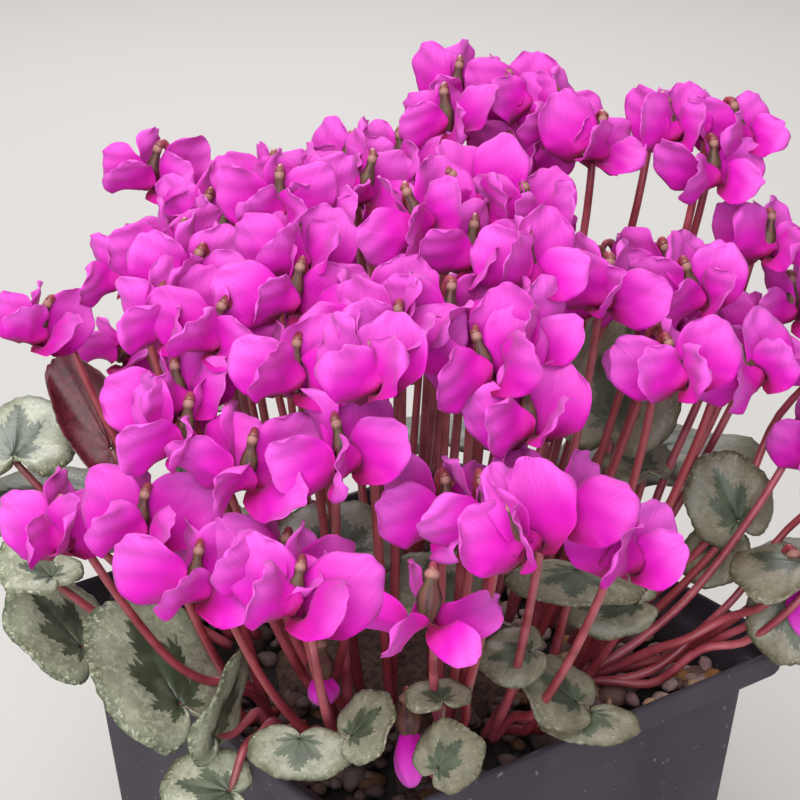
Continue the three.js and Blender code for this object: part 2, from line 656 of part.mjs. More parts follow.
// ---------------------------------------------------------------- assembly
const FINISH = {
  pot: { color: 0x5a565e, roughness: 0.62, metalness: 0 },
  compost: { color: 0x2a1f18, roughness: 1, metalness: 0 },
  grit: { color: 0xa58a78, roughness: 0.95, metalness: 0 },
  tuber: { color: 0x4b3426, roughness: 0.95, metalness: 0 },
  leaf: { color: 0x7f8f74, roughness: 0.55, metalness: 0 },
  flower: { color: 0xe13bcb, roughness: 0.6, metalness: 0 },
  bud: { color: 0xcf1fae, roughness: 0.6, metalness: 0 },
};
const plant = new THREE.Group();
function addPiece(name, finish, solid) {
  const mesh = new THREE.Mesh(geometryOf(solid), new THREE.MeshStandardMaterial(FINISH[finish]));
  mesh.name = name;
  plant.add(mesh);
}
const numbered = (word, index) => `${word}_${String(index + 1).padStart(2, "0")}`;

addPiece("pot", "pot", makePot());
addPiece("compost", "compost", makeCompost());
addPiece("grit_layer", "grit", makeGrit());
addPiece("tuber", "tuber", makeTuber(0));
shoots.forEach((_, i) => addPiece(numbered("flower_shoot", i), "flower", shootSolid(i)));
buds.forEach((_, i) => addPiece(numbered("bud", i), "bud", budSolid(i)));
leafGroups.forEach((_, i) => addPiece(numbered("leaf", i), "leaf", leafSolid(i)));

export default plant;
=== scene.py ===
"""A hardy cyclamen in flower in a square plastic pot. Sizes are in millimetres until a mesh is made."""

import bpy
import numpy as np
from mathutils import Matrix


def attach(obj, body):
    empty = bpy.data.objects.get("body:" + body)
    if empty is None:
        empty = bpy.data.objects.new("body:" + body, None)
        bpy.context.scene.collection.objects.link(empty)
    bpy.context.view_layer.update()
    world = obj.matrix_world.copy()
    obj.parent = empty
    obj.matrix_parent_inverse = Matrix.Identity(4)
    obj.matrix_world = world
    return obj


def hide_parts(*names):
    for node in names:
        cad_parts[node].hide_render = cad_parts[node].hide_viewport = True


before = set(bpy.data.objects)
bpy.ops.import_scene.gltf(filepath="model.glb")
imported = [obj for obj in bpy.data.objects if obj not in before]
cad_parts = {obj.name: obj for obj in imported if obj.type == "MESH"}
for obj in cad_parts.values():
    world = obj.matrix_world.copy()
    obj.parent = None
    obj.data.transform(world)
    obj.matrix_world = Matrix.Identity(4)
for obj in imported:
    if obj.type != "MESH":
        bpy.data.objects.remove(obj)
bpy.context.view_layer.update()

# ---------------------------------------------------------------- the view
# The plant was seen from above one corner of its pot, from about half a metre. Flowers and leaves are
# placed by the pixel of an 800 x 800 frame that shows them, so the camera comes first.
MM = 0.001
POT_HEIGHT = 112.0
VIEW_AZIMUTH = np.radians(37.2)
VIEW_ELEVATION = np.radians(29.2)
VIEW_DISTANCE = 480.0
FOCAL_PIXELS = 2336.0
FRAME_PIXELS = 800.0
SENSOR = 36.0
AIM = np.array([-2.0, 1.0, 161.0])

UP = np.array([0.0, 0.0, 1.0])
SIDEWAYS = np.array([np.cos(VIEW_AZIMUTH), -np.sin(VIEW_AZIMUTH), 0.0])
TOWARDS = np.array([-np.sin(VIEW_AZIMUTH), -np.cos(VIEW_AZIMUTH), 0.0])
RIM_MIDDLE = UP * POT_HEIGHT
EYE = RIM_MIDDLE + VIEW_DISTANCE * (TOWARDS * np.cos(VIEW_ELEVATION) + UP * np.sin(VIEW_ELEVATION))


def unit(vectors):
    """Vectors divided by their lengths."""
    return vectors / np.linalg.norm(vectors, axis=-1, keepdims=True)


AHEAD = unit(AIM - EYE)
ACROSS = unit(np.cross(AHEAD, UP))
UPWARDS = np.cross(ACROSS, AHEAD)


def sight_lines(pixels):
    """Directions from the eye through pixels: ahead, plus the pixel's offsets over the focal length."""
    offsets = (np.asarray(pixels, float) - FRAME_PIXELS / 2) / FOCAL_PIXELS
    return unit(AHEAD + offsets[..., :1] * ACROSS - offsets[..., 1:] * UPWARDS)


def at_level(pixels, levels):
    """Points that pixels show at levels above the rim: the eye plus the line's length down to that level."""
    lines = sight_lines(pixels)
    drop = POT_HEIGHT + np.asarray(levels, float) - EYE[2]
    return EYE + lines * (drop / lines[..., 2])[..., None]


def standing(right, top, back, place):
    """The matrix of a thing at a place in millimetres whose own x, y and z run along three directions."""
    return Matrix([[right[i], top[i], back[i], place[i] * MM] for i in range(3)] + [[0, 0, 0, 1]])


def placed(name, data):
    """A new object in the scene."""
    thing = bpy.data.objects.new(name, data)
    bpy.context.scene.collection.objects.link(thing)
    return thing


camera_data = bpy.data.cameras.new("camera")
camera_data.sensor_width = SENSOR
camera_data.lens = FOCAL_PIXELS / FRAME_PIXELS * SENSOR
camera_data.clip_start = 0.02
camera = placed("camera", camera_data)
camera.matrix_world = standing(ACROSS, UPWARDS, -AHEAD, EYE)
bpy.context.scene.camera = camera

# ---------------------------------------------------------------- pot
# A square nursery pot, one thin-walled injection moulding in polypropylene: a tapered box with rounded
# corners, a plain band that steps out round the rim, and four drain holes cut through a plain base.
WALL = 1.3
FLOOR = 2.0
RIM_HALF = 55.0
RIM_DROP = 5.5
RIM_REACH = 5.0
TAPER = 0.085
CORNER = 5.0
DRAIN_RADIUS = 4.5
DRAIN_PLACE = 26.0


def linear(colour):
    """The linear colour of an sRGB hex value, with the exact sRGB curve."""
    srgb = np.array([int(colour[i : i + 2], 16) for i in (1, 3, 5)]) / 255
    return (*np.where(srgb <= 0.04045, srgb / 12.92, ((srgb + 0.055) / 1.055) ** 2.4), 1.0)


def new_material(name):
    """An empty node material."""
    material = bpy.data.materials.new(name)
    material.use_nodes = True
    material.node_tree.nodes.clear()
    return material


# Steps on numbers and colours, in plain words: the node of each step and the setting that makes it so.
SUMS = {"plus": "ADD", "minus": "SUBTRACT", "times": "MULTIPLY", "larger": "MAXIMUM", "size": "ABSOLUTE",
        "saw": "FRACT", "zigzag": "PINGPONG"}
STEPS = {word: ("Math", "operation", operation) for word, operation in SUMS.items()}
STEPS["blend"] = "Mix", "data_type", "RGBA"
STEPS["rise"] = "MapRange", "interpolation_type", "SMOOTHSTEP"


def add(material, kind, *inputs, **settings):
    """Adds a node. Its inputs, in the sockets' order or in one dict by name, are numbers, hex colours, nodes
    (which give their first output) or outputs to link. Settings are its attributes."""
    kind, *setting = STEPS.get(kind, (kind,))
    node = material.node_tree.nodes.new("ShaderNode" + kind)
    for name, value in [*settings.items()] + [setting] * bool(setting):
        setattr(node, name, value)
    sockets = [socket for socket in node.inputs if socket.enabled]
    named = inputs and isinstance(inputs[0], dict)
    for place, value in inputs[0].items() if named else enumerate(inputs):
        socket = node.inputs[place] if named else sockets[place]
        if isinstance(value, bpy.types.Node):
            value = next(output for output in value.outputs if output.enabled)
        if isinstance(value, bpy.types.NodeSocket):
            material.node_tree.links.new(value, socket)
        else:
            socket.default_value = linear(value) if isinstance(value, str) else value
    return node


def cloudy(material, size, detail=3.0, stretch=(1, 1, 1), rough=0.55):
    """A cloudy pattern, fixed to the object, with blobs about size millimetres wide and finer along stretched
    axes."""
    place = add(material, "TexCoord").outputs["Object"]
    scaled = add(material, "Mapping", {"Vector": place, "Scale": stretch})
    inputs = {"Vector": scaled, "Scale": 1 / (size * MM), "Detail": detail, "Roughness": rough}
    return add(material, "TexNoise", inputs)


def two_tone(material, pattern, low, high, one, other):
    """One colour where a pattern is under low, another where it is over high, and a smooth change between."""
    return add(material, "blend", add(material, "rise", pattern, low, high), one, other)


def stained(material, colour, *stains):
    """A colour with stains over it, each given by its colour, the share that lets it show and a strength."""
    for stain, share, strength in stains:
        colour = add(material, "blend", add(material, "times", share, strength), colour, stain)
    return colour


def total(material, *terms):
    """The sum of patterns, each times its weight."""
    parts = [add(material, "times", pattern, weight) for pattern, weight in terms]
    while len(parts) > 1:
        parts[:2] = [add(material, "plus", parts[0], parts[1])]
    return parts[0]


def finish_surface(material, colour, roughness, height=None, bump=0.3, depth=0.2, through=None, **shader):
    """Joins a colour, a roughness and a height, with its bump strength and depth in mm, into one shader. A
    thin piece also gives the shader and the share of the light that comes through it."""
    inputs = {"Base Color": colour, "Roughness": roughness, **shader}
    if height is not None:
        inputs["Normal"] = add(material, "Bump", {"Height": height, "Strength": bump, "Distance": depth * MM})
    shade = add(material, "BsdfPrincipled", {name.replace("_", " "): value for name, value in inputs.items()})
    if through is not None:
        shade = add(material, "MixShader", through[1], shade, through[0])
    add(material, "OutputMaterial", shade)


def grid_quads(rows, columns, wrap=False):
    """Quads of a grid of points numbered row by row. With wrap, the last column joins the first."""
    row, column = np.meshgrid(np.arange(rows - 1), np.arange(columns - (not wrap)), indexing="ij")
    corner = [(row, column), (row, column + 1), (row + 1, column + 1), (row + 1, column)]
    return np.stack([r * columns + c % columns for r, c in corner], -1).reshape(-1, 4)


def surface(points, faces, uv=(0.0, 0.0), tone=0.0, under=0.0):
    """A surface: points, blocks of faces with equally many corners, and each point's map place, tone and
    share of the underside."""
    points = np.reshape(points, (-1, 3))
    count = len(points)
    return {
        "points": points,
        "faces": faces,
        "uv": np.broadcast_to(np.reshape(uv, (-1, 2)), (count, 2)),
        "tone": np.broadcast_to(np.ravel(tone), count),
        "under": np.broadcast_to(np.ravel(under), count),
    }


def ringed(rings, uv=(0.0, 0.0), tone=0.0):
    """A closed surface through rings of points, each ring anticlockwise seen from the last ring's end."""
    rows, columns = rings.shape[:2]
    end = np.arange(columns)[None]
    faces = [grid_quads(rows, columns, wrap=True), end[:, ::-1], end + (rows - 1) * columns]
    return surface(rings, faces, uv, tone)


def mesh_of(name, surfaces):
    """One mesh of several surfaces, in metres, with their faces numbered on from each to the next."""
    starts = np.cumsum([0] + [len(s["points"]) for s in surfaces])
    blocks = [(block + start).tolist() for s, start in zip(surfaces, starts) for block in s["faces"]]
    mesh = bpy.data.meshes.new(name)
    points = np.concatenate([s["points"] for s in surfaces]) * MM
    mesh.from_pydata(points, [], [face for block in blocks for face in block])
    return mesh


def make_piece(name, surfaces, material, nodes):
    """One mesh object of several surfaces, that stands for CAD nodes and rides with the pot."""
    mesh = mesh_of(name, surfaces)
    corners = np.empty(len(mesh.loops), int)
    mesh.loops.foreach_get("vertex_index", corners)
    uv = np.concatenate([s["uv"] for s in surfaces])[corners]
    mesh.uv_layers.new(name="UVMap").data.foreach_set("uv", uv.ravel())
    for key in ("tone", "under"):
        values = np.concatenate([s[key] for s in surfaces])
        mesh.attributes.new(key, "FLOAT", "POINT").data.foreach_set("value", values)
    mesh.polygons.foreach_set("use_smooth", np.ones(len(mesh.polygons), bool))
    mesh.materials.append(material)
    piece = placed(name, mesh)
    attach(piece, "root")
    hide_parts(*nodes)
    return piece


def circle(count):
    """Evenly spaced turns of a full circle."""
    return np.linspace(0, 2 * np.pi, count, endpoint=False)


def square_ring(half, corner, level, straight=12, arc=7):
    """A square with rounded corners at a level: four quarter arcs, with points along the straight sides."""
    turn = np.linspace(0, np.pi / 2, arc)
    bend = (half - corner) + corner * np.stack([np.cos(turn), np.sin(turn)], -1)
    along = np.linspace(bend[-1], [-bend[-1][0], half], straight + 1)[1:-1]
    side = np.concatenate([bend, along])
    quarter = np.array([[0.0, 1.0], [-1.0, 0.0]])
    flat = np.concatenate([side @ np.linalg.matrix_power(quarter, k) for k in range(4)])
    return np.column_stack([flat, np.full(len(flat), level)])


def wall_half(level):
    """Half the pot's outer width at a height above its base."""
    return RIM_HALF - RIM_REACH - TAPER * (POT_HEIGHT - level)


BAND = POT_HEIGHT - RIM_DROP
foot, neck, lip, brim = wall_half(0), wall_half(BAND), RIM_HALF, POT_HEIGHT
# Half widths and heights of the shell's rings: underside, wall, band, lip, and down the inside to the floor.
pot_profile = [
    (foot - 6.0, 0.0), (foot - 2.2, 0.0), (foot - 1.0, 0.3), (foot - 0.3, 1.0), (wall_half(2.2), 2.2),
    (wall_half(30), 30.0), (wall_half(60), 60.0), (wall_half(90), 90.0), (neck - 0.1, BAND - 0.9),
    (neck + 0.4, BAND - 0.2), (neck + 1.2, BAND), (lip - 1.1, BAND), (lip - 0.55, BAND + 0.15),
    (lip - 0.35, BAND + 0.6), (lip - 0.1, brim - 1.2), (lip, brim - 0.6), (lip - 0.15, brim - 0.15),
    (lip - 0.5, brim), (lip - 1.2, brim), (lip - 1.6, brim - 0.25), (lip - 1.7, brim - 0.7),
    (lip - 2.0, BAND + 1.9), (lip - 2.6, BAND + 1.4), (neck + 0.2, BAND + 1.3), (neck - 1.0, BAND + 1.0),
    (neck - WALL, BAND + 0.3), (wall_half(60) - WALL, 60.0), (wall_half(4) - WALL, 4.0),
    (wall_half(3) - WALL - 1.5, FLOOR + 0.3), (wall_half(3) - WALL - 3.0, FLOOR),
]
pot_rings = np.stack([square_ring(half, CORNER * half / lip + 0.4, level) for half, level in pot_profile])

# Polypropylene straight from the mould, dark lavender grey and half matt, which dust, scuffs and dried
# hard-water splashes make cloudy and specked.
plastic = new_material("polypropylene_dusty")
cloud = cloudy(plastic, 26, 4, (1, 1, 0.45))
grain = cloudy(plastic, 1.1, 3)
speck = add(plastic, "rise", cloudy(plastic, 1.6, 1, rough=0.3), 0.72, 0.78)
splash = add(plastic, "rise", cloudy(plastic, 5.5, 4, (1, 1, 0.6), 0.7), 0.60, 0.72)
pot_colour = stained(
    plastic, two_tone(plastic, cloud, 0.32, 0.7, "#38343C", "#48434C"),
    ("#28252B", grain, 0.35), ("#565260", splash, 0.35), ("#8A838E", speck, 0.5))
pot_rough = add(plastic, "MapRange", {"Value": cloud, "To Min": 0.5, "To Max": 0.7})
finish_surface(plastic, pot_colour, pot_rough, grain, 0.25, 0.08, IOR=1.49, Specular_IOR_Level=0.2)

pot = make_piece("pot_shell", [ringed(pot_rings)], plastic, ["pot"])
# Each drain hole is cut by a drill that passes the floor on both sides.
DRILL_PAST = 3.0
for x in (-DRAIN_PLACE, DRAIN_PLACE):
    for y in (-DRAIN_PLACE, DRAIN_PLACE):
        turn = circle(32)
        rim = np.column_stack([x + DRAIN_RADIUS * np.cos(turn), y + DRAIN_RADIUS * np.sin(turn), 0 * turn])
        rings = np.stack([rim - UP * DRILL_PAST, rim + UP * (FLOOR + DRILL_PAST)])
        drill = placed("drill", mesh_of("drill", [ringed(rings)]))
        cut = pot.modifiers.new("drain", "BOOLEAN")
        cut.operation, cut.solver, cut.object = "DIFFERENCE", "EXACT", drill
        bored = bpy.data.meshes.new_from_object(pot.evaluated_get(bpy.context.evaluated_depsgraph_get()))
        pot.modifiers.clear()
        pot.data = bored
        bpy.data.objects.remove(drill)

# ---------------------------------------------------------------- compost
# Moist peat-free compost with bark and fibre, firmed by hand. It fills the pot to 12 mm under the rim, and
# shows as dark crumbs between the stones and the stems.
COMPOST_TOP = POT_HEIGHT - 12.0
GAP = 0.35


def ripples(points, size, seed):
    """A smooth random height from -1 to 1: the mean of six sine waves of about the given size."""
    waves = np.random.default_rng(seed)
    directions = waves.normal(size=(6, points.shape[-1])) / size
    return np.sin(points @ directions.T + waves.uniform(0, 6.3, 6)).mean(-1) * 1.8


top_half = wall_half(COMPOST_TOP) - WALL - 1
compost_top = np.stack([
    square_ring(top_half * share, 5 * share, COMPOST_TOP + 1.2) for share in np.linspace(0.04, 1.0, 22)])
compost_top[..., 2] += 1.0 * ripples(compost_top, 6, 1) + 0.8 * ripples(compost_top, 2.2, 2)
compost_foot = FLOOR + 0.6
compost_low = [square_ring(8, 2, compost_foot)]
for level in (compost_foot, 60.0, COMPOST_TOP - 1):
    compost_low.append(square_ring(wall_half(level) - WALL - GAP - 0.2, 4.6, level))

# Moist compost is nearly black, rough and dull, with brown fibres in it.
compost = new_material("compost_moist")
crumb = cloudy(compost, 1.4, 5, rough=0.7)
fibre = add(compost, "rise", cloudy(compost, 2.2, 2, (1, 3, 1)), 0.6, 0.75)
compost_colour = two_tone(compost, crumb, 0.35, 0.65, "#080504", "#1E1411")
finish_surface(compost, stained(compost, compost_colour, ("#45332A", fibre, 0.35)), 0.9, crumb, 1.0, 0.9)
compost_rings = np.concatenate([compost_low, compost_top[::-1]])
make_piece("compost_fill", [ringed(compost_rings)], compost, ["compost"])

# ---------------------------------------------------------------- grit
# A top dressing of washed river grit, 2 to 8 mm, poured loose on the compost round the tuber's crown: pinkish
# grey granite and quartz with some ochre flint.
GRIT_TOP = POT_HEIGHT - 7.5
STONES = 640
rng = np.random.default_rng(7)


def stones(places, sizes, turns, tones, rows=6, columns=8):
    """Pebbles: globes pushed in and out by a few random waves, flattened, turned, sized and placed."""
    rise, turn = np.meshgrid(np.linspace(-1.25, 1.25, rows), circle(columns), indexing="ij")
    globe = np.stack([np.cos(rise) * np.cos(turn), np.cos(rise) * np.sin(turn), np.sin(rise)], -1)
    shapes = []
    for place, size, axes, tone in zip(places, sizes, turns, tones):
        lumps = 1 + 0.16 * np.sin(globe @ (axes[0] * 2.3) + tone * 9) + 0.1 * np.sin(globe @ (axes[1] * 4.1))
        body = globe * lumps[..., None] * (1.0, 0.8, 0.58) * size / 2
        shapes.append(ringed(body @ axes + place, tone=tone))
    return shapes


stone_sizes = np.clip(rng.lognormal(1.42, 0.36, STONES), 2.2, 8.5)
stone_half = wall_half(GRIT_TOP) - WALL - 0.45 * stone_sizes
stone_xy = rng.uniform(-1, 1, (STONES, 2)) * stone_half[:, None]
stone_level = GRIT_TOP - 0.28 * stone_sizes - 0.3 + rng.uniform(-1.0, 0.7, STONES)
tilt = rng.normal(size=(STONES, 3)) * 0.35 + UP
first = unit(np.cross(tilt, rng.normal(size=(STONES, 3))))
stone_axes = np.stack([first, unit(np.cross(tilt, first)), unit(tilt)], 1)
stone_tones = rng.uniform(0, 1, STONES)
grit_pieces = stones(np.column_stack([stone_xy, stone_level]), stone_sizes, stone_axes, stone_tones)

# Washed stone is dull and finely flecked, and each stone has one colour of its own.
grit = new_material("river_grit")
stone_ramp = add(grit, "ValToRGB", add(grit, "Attribute", attribute_name="tone").outputs["Fac"])
stone_stops = stone_ramp.color_ramp.elements
stone_ramp.color_ramp.interpolation = "CONSTANT"
for place, colour in (
    (0.0, "#8A6E70"), (0.2, "#C9B6B0"), (0.42, "#BFA29C"), (0.6, "#8A6A60"), (0.7, "#B88450"),
    (0.8, "#CBAA88"), (0.9, "#6A5250"),
):
    (stone_stops.new(place) if place else stone_stops[0]).color = linear(colour)
fleck = cloudy(grit, 0.7, 4, rough=0.65)
grit_colour = two_tone(grit, fleck, 0.2, 0.55, "#5A4442", stone_ramp)
# Stones under the leaves, away from the open corner at +X, are painted dark red-brown: painted shade of the
# leaves and stems over them.
grit_place = add(grit, "SeparateXYZ", add(grit, "TexCoord").outputs["Object"]).outputs
# Painted shade: a dark red-brown that grows away from the open corner at +X.
painted_leaf_shade = add(grit, "rise", total(grit, (grit_place[0], 1.0), (grit_place[1], -0.3)), 0.040, 0.005)
finish_surface(grit, stained(grit, grit_colour, ("#241210", painted_leaf_shade, 0.85)), 0.72, fleck, 0.6, 0.25)
make_piece("grit_stones", grit_pieces, grit, ["grit_layer"])

# ---------------------------------------------------------------- tuber
# The tuber is a flattened globe, corky and brown, set with its crown level with the grit. All stems and
# stalks grow from the crown.
TUBER_RADIUS = 30.0
TUBER_THICKNESS = 22.0
TUBER_FULLNESS = 0.6
CROWN_LEVEL = GRIT_TOP + 2.5


def crown_at(distance):
    """The height of the tuber's upper side at distances from its middle."""
    share = np.minimum(distance / TUBER_RADIUS, 1) ** (1 / TUBER_FULLNESS)
    return CROWN_LEVEL - TUBER_THICKNESS / 2 * (1 - np.sqrt(1 - share**2))


rise, turn = np.meshgrid(np.linspace(0.06 - np.pi / 2, np.pi / 2 - 0.06, 24), circle(48), indexing="ij")
reach = TUBER_RADIUS * np.cos(rise) ** TUBER_FULLNESS
tuber_level = CROWN_LEVEL - TUBER_THICKNESS / 2 * (1 - np.sin(rise))
tuber_rings = np.stack([reach * np.cos(turn), reach * np.sin(turn), tuber_level], -1)
tuber_middle = UP * (CROWN_LEVEL - TUBER_THICKNESS / 2)
tuber_rings += 0.35 * ripples(tuber_rings, 3.5, 5)[..., None] * unit(tuber_rings - tuber_middle)
# Cork is rough, dull and cracked, brown with dark cracks.
cork = new_material("corky_skin")
crack = cloudy(cork, 1.8, 5, rough=0.7)
finish_surface(cork, two_tone(cork, crack, 0.35, 0.65, "#241611", "#5A3F2E"), 0.85, crack, 0.8, 0.5)
make_piece("tuber_body", [ringed(tuber_rings)], cork, ["tuber"])

# ---------------------------------------------------------------- where flowers, buds and leaves stand
# A shoot is two to six neighbouring flowers whose stems leave the crown together. The flowers stand on a
# mound over the pot and the leaves round it. Whatever the view shows is given by its pixels.
MOUND_TOWARDS, MOUND_BASE = 8.0, 15.0
MOUND_HALVES = np.array([80.0, 86.0, 88.0])
SLIDE_ROUNDS, SLIDE_PUSH, SLIDE_SPACING, SLIDE_REACH = 60, 0.2, 11.5, 13.0
# For each shoot, the pixels of its flowers' hooks, their highest points.
SHOOTS = [
    [[161, 149], [184, 228], [210, 197]],
    [[122, 248], [51, 304]],
    [[202, 253], [227, 208], [225, 306], [163, 292]],
    [[280, 175], [274, 159], [319, 173]],
    [[302, 267], [298, 343], [297, 229]],
    [[175, 366], [190, 403], [254, 439], [335, 423]],
    [[373, 159], [400, 135], [405, 192], [352, 140]],
    [[444, 92], [460, 65]],
    [[505, 74], [556, 96], [509, 138]],
    [[448, 176], [475, 224], [451, 286]],
    [[361, 287], [399, 310], [368, 345]],
    [[523, 187], [529, 241], [533, 313]],
    [[475, 336], [523, 389]],
    [[444, 479], [480, 480], [505, 508], [433, 573]],
    [[603, 120], [664, 101]],
    [[712, 143], [731, 106]],
    [[663, 247], [684, 266], [610, 262]],
    [[770, 217], [790, 279], [757, 318], [836, 350]],
    [[666, 343], [734, 347], [808, 424], [838, 482], [844, 540]],
    [[60, 505], [147, 494]],
    [[200, 550], [288, 538], [302, 566]],
    [[552, 476], [629, 523]],
]
# Shoots on the far side: for each hook, how far it is sideways and towards the view.
FAR_SHOOTS = [
    [[-46, -38], [-30, -52], [-58, -44], [-44, -60], [-26, -69]],
    [[-10, -50], [-16, -62], [4, -60], [-8, -74], [10, -73]],
    [[24, -50], [30, -60], [42, -48], [56, -36], [27, -70], [50, -58]],
]
# Lower flowers inside the mound: shoot, sideways, towards the view, and depth under the mound's top.
INNER_FLOWERS = [
    (3, -34, -24, 12), (7, -12, -31, 12), (14, 38, -28, 14), (15, 54, -21, 14), (11, 33, 4, 18),
    (16, 46, 17, 16),
]
# Each bud's hook pixel and its level over the rim.
BUDS = [([407, 697], 17), ([791, 554], 24), ([318, 644], 24)]
# Each leaf's pixels of the notch, where the stalk joins, and of the tip, both levels, a breadth and a roll.
LEAVES = [
    (14, 458, 20, 396, 36, 38, 0.78, 0), (112, 450, 54, 352, 36, 54, 0.5, 140),
    (82, 648, 14, 576, 4, 17, 1.0, -8), (52, 578, 8, 540, 24, 28, 1.1, 0),
    (180, 705, 108, 596, 5, 22, 1.0, 0), (214, 735, 243, 640, 6, 24, 0.8, 128),
    (230, 792, 160, 782, -3, -2, 1.1, -35), (300, 738, 296, 782, 14, 8, 2.1, 0),
    (352, 736, 394, 700, 15, 22, 1.2, 20), (228, 556, 240, 504, 30, 36, 1.0, 0),
    (345, 556, 330, 500, 34, 38, 1.3, 10), (530, 652, 476, 664, 22, 20, 1.1, -25),
    (442, 702, 428, 678, 24, 25, 1.5, 0), (438, 768, 474, 726, 12, 24, 0.7, 100),
    (576, 702, 520, 666, 10, 17, 1.1, -20), (590, 712, 588, 746, 8, 4, 2.4, 0),
    (576, 570, 572, 606, 30, 26, 2.9, 0), (636, 604, 560, 612, 20, 18, 0.75, -35),
    (646, 470, 620, 434, 34, 38, 1.3, 0), (738, 522, 708, 452, 26, 40, 0.95, -60),
    (726, 540, 690, 584, 20, 12, 1.0, -30), (612, 420, 640, 296, 44, 66, 0.9, 0),
    (790, 596, 798, 668, 16, 4, 1.1, 15), (802, 562, 732, 558, 24, 22, 1.7, 0),
    (440, 600, 424, 548, 24, 30, 1.5, 0),
]
# Groups of far leaves on one foot: bearing, reach of the notch, level of the notch and length.
FAR_LEAVES = [
    [(-8, 57, 25, 28), (12, 62, 11, 27), (30, 58, 26, 28)],
    [(48, 62, 11, 27), (66, 57, 28, 29), (86, 62, 13, 28)],
    [(106, 58, 29, 27), (122, 64, 12, 27), (140, 64, 27, 28)],
]


def on_mound(pixels):
    """Where sight lines meet the mound, an ellipsoid: the near root, or where one that misses is closest."""
    lines = sight_lines(pixels)
    axes = np.stack([SIDEWAYS, TOWARDS, UP]) / MOUND_HALVES[:, None]
    start = axes @ (EYE - RIM_MIDDLE - MOUND_TOWARDS * TOWARDS - MOUND_BASE * UP)
    heading = lines @ axes.T
    half, square = heading @ start, (heading**2).sum(-1)
    inside = np.maximum(half**2 - square * (start @ start - 1), 0)
    return EYE + lines * ((-half - np.sqrt(inside)) / square)[:, None], lines


def on_mound_above(places):
    """The mound's points straight above places given sideways and towards the view."""
    across, along = (np.asarray(places, float) - [0, MOUND_TOWARDS]).T / MOUND_HALVES[:2, None]
    level = POT_HEIGHT + MOUND_BASE + MOUND_HALVES[2] * np.sqrt(1 - across**2 - along**2)
    return np.asarray(places) @ np.stack([SIDEWAYS, TOWARDS]) + level[:, None] * UP


def slide_apart(hooks, lines, pixels):
    """Moves close hooks along their sight lines until spaced, the lower one in the picture nearer."""
    slid = np.zeros(len(hooks))
    lower = np.where(pixels[:, None, 1] > pixels[None, :, 1], 1, -1)
    lower[(pixels[:, None, 1] == pixels[None, :, 1]) & np.triu(np.ones_like(lower, bool))] = 1
    np.fill_diagonal(lower, 0)
    for _ in range(SLIDE_ROUNDS):
        now = hooks + lines * slid[:, None]
        apart = np.linalg.norm(now[:, None] - now[None], axis=-1)
        steps = (-lower * SLIDE_PUSH * np.maximum(SLIDE_SPACING - apart, 0)).sum(1)
        slid = np.clip(slid + steps, -SLIDE_REACH, SLIDE_REACH)
    return hooks + lines * slid[:, None]


def numbered(groups):
    """For each member of each group, the number of the group."""
    return np.repeat(np.arange(len(groups)), [len(group) for group in groups])


hook_pixels = np.array(sum(SHOOTS, []), float)
seen_hooks = slide_apart(*on_mound(hook_pixels), hook_pixels)
far_hooks = on_mound_above(sum(FAR_SHOOTS, []))
shoot_count = len(SHOOTS) + len(FAR_SHOOTS)
bud_hooks = at_level([pixel for pixel, _ in BUDS], [level for _, level in BUDS])
inner = np.array(INNER_FLOWERS, float)
inner_hooks = on_mound_above(inner[:, 1:3]) - inner[:, 3:] * UP
hooks = np.concatenate([seen_hooks, far_hooks, inner_hooks, bud_hooks])
owner_of_hook = np.concatenate([
    numbered(SHOOTS + FAR_SHOOTS), inner[:, 0].astype(int), shoot_count + np.arange(len(BUDS))])
flower_count = len(hooks) - len(BUDS)


def leaf_frame(notch, tip, broad, roll):
    """A leaf's notch, midrib, way across, normal, length and breadth. Roll turns it on its midrib."""
    along = tip - notch
    length = np.linalg.norm(along) * 1.06
    along = unit(along)
    level = unit(np.cross(UP, along))
    across = level * np.cos(np.radians(roll)) + np.cross(along, level) * np.sin(np.radians(roll))
    return {"notch": notch, "along": along, "across": across, "normal": np.cross(along, across),
            "length": length, "broad": broad}


leaf_owners = numbered([[leaf] for leaf in LEAVES] + FAR_LEAVES)
leaves = [leaf_frame(at_level(leaf[:2], leaf[4]), at_level(leaf[2:4], leaf[5]), *leaf[6:]) for leaf in LEAVES]
for bearing, reach, level, length in sum(FAR_LEAVES, []):
    out = np.array([np.cos(np.radians(bearing)), np.sin(np.radians(bearing)), 0])
    far_notch = out * reach + UP * (POT_HEIGHT + level)
    leaves.append(leaf_frame(far_notch, far_notch + out * length * 0.94 - UP * length * 0.12, 1.05, 0))

# ---------------------------------------------------------------- the run of stems and stalks
# Stems and stalks are soft water-filled rods. They run out low from the crown, turn upwards, push each other
# aside where they meet and pass over the pot's rim.
STEM_RADIUS, STALK_RADIUS, SHOOT_RADIUS = 0.85, 1.0, 2.1
STEM_SAG, STALK_SAG = 0.24, 0.1
CROWN_SHARE, STALK_CIRCLE, FOOT_RISE = 0.5, 37.0, 0.5
SPREAD_ROUNDS, SPREAD_PUSH, SPREAD_ROOM, OVER_RIM, OVER_GRIT = 80, 0.35, 0.5, 3.6, 2.4
STRAND_POINTS = 7
FLOWER_DEPTH, FLOWER_CORE = 11.5, 5.0


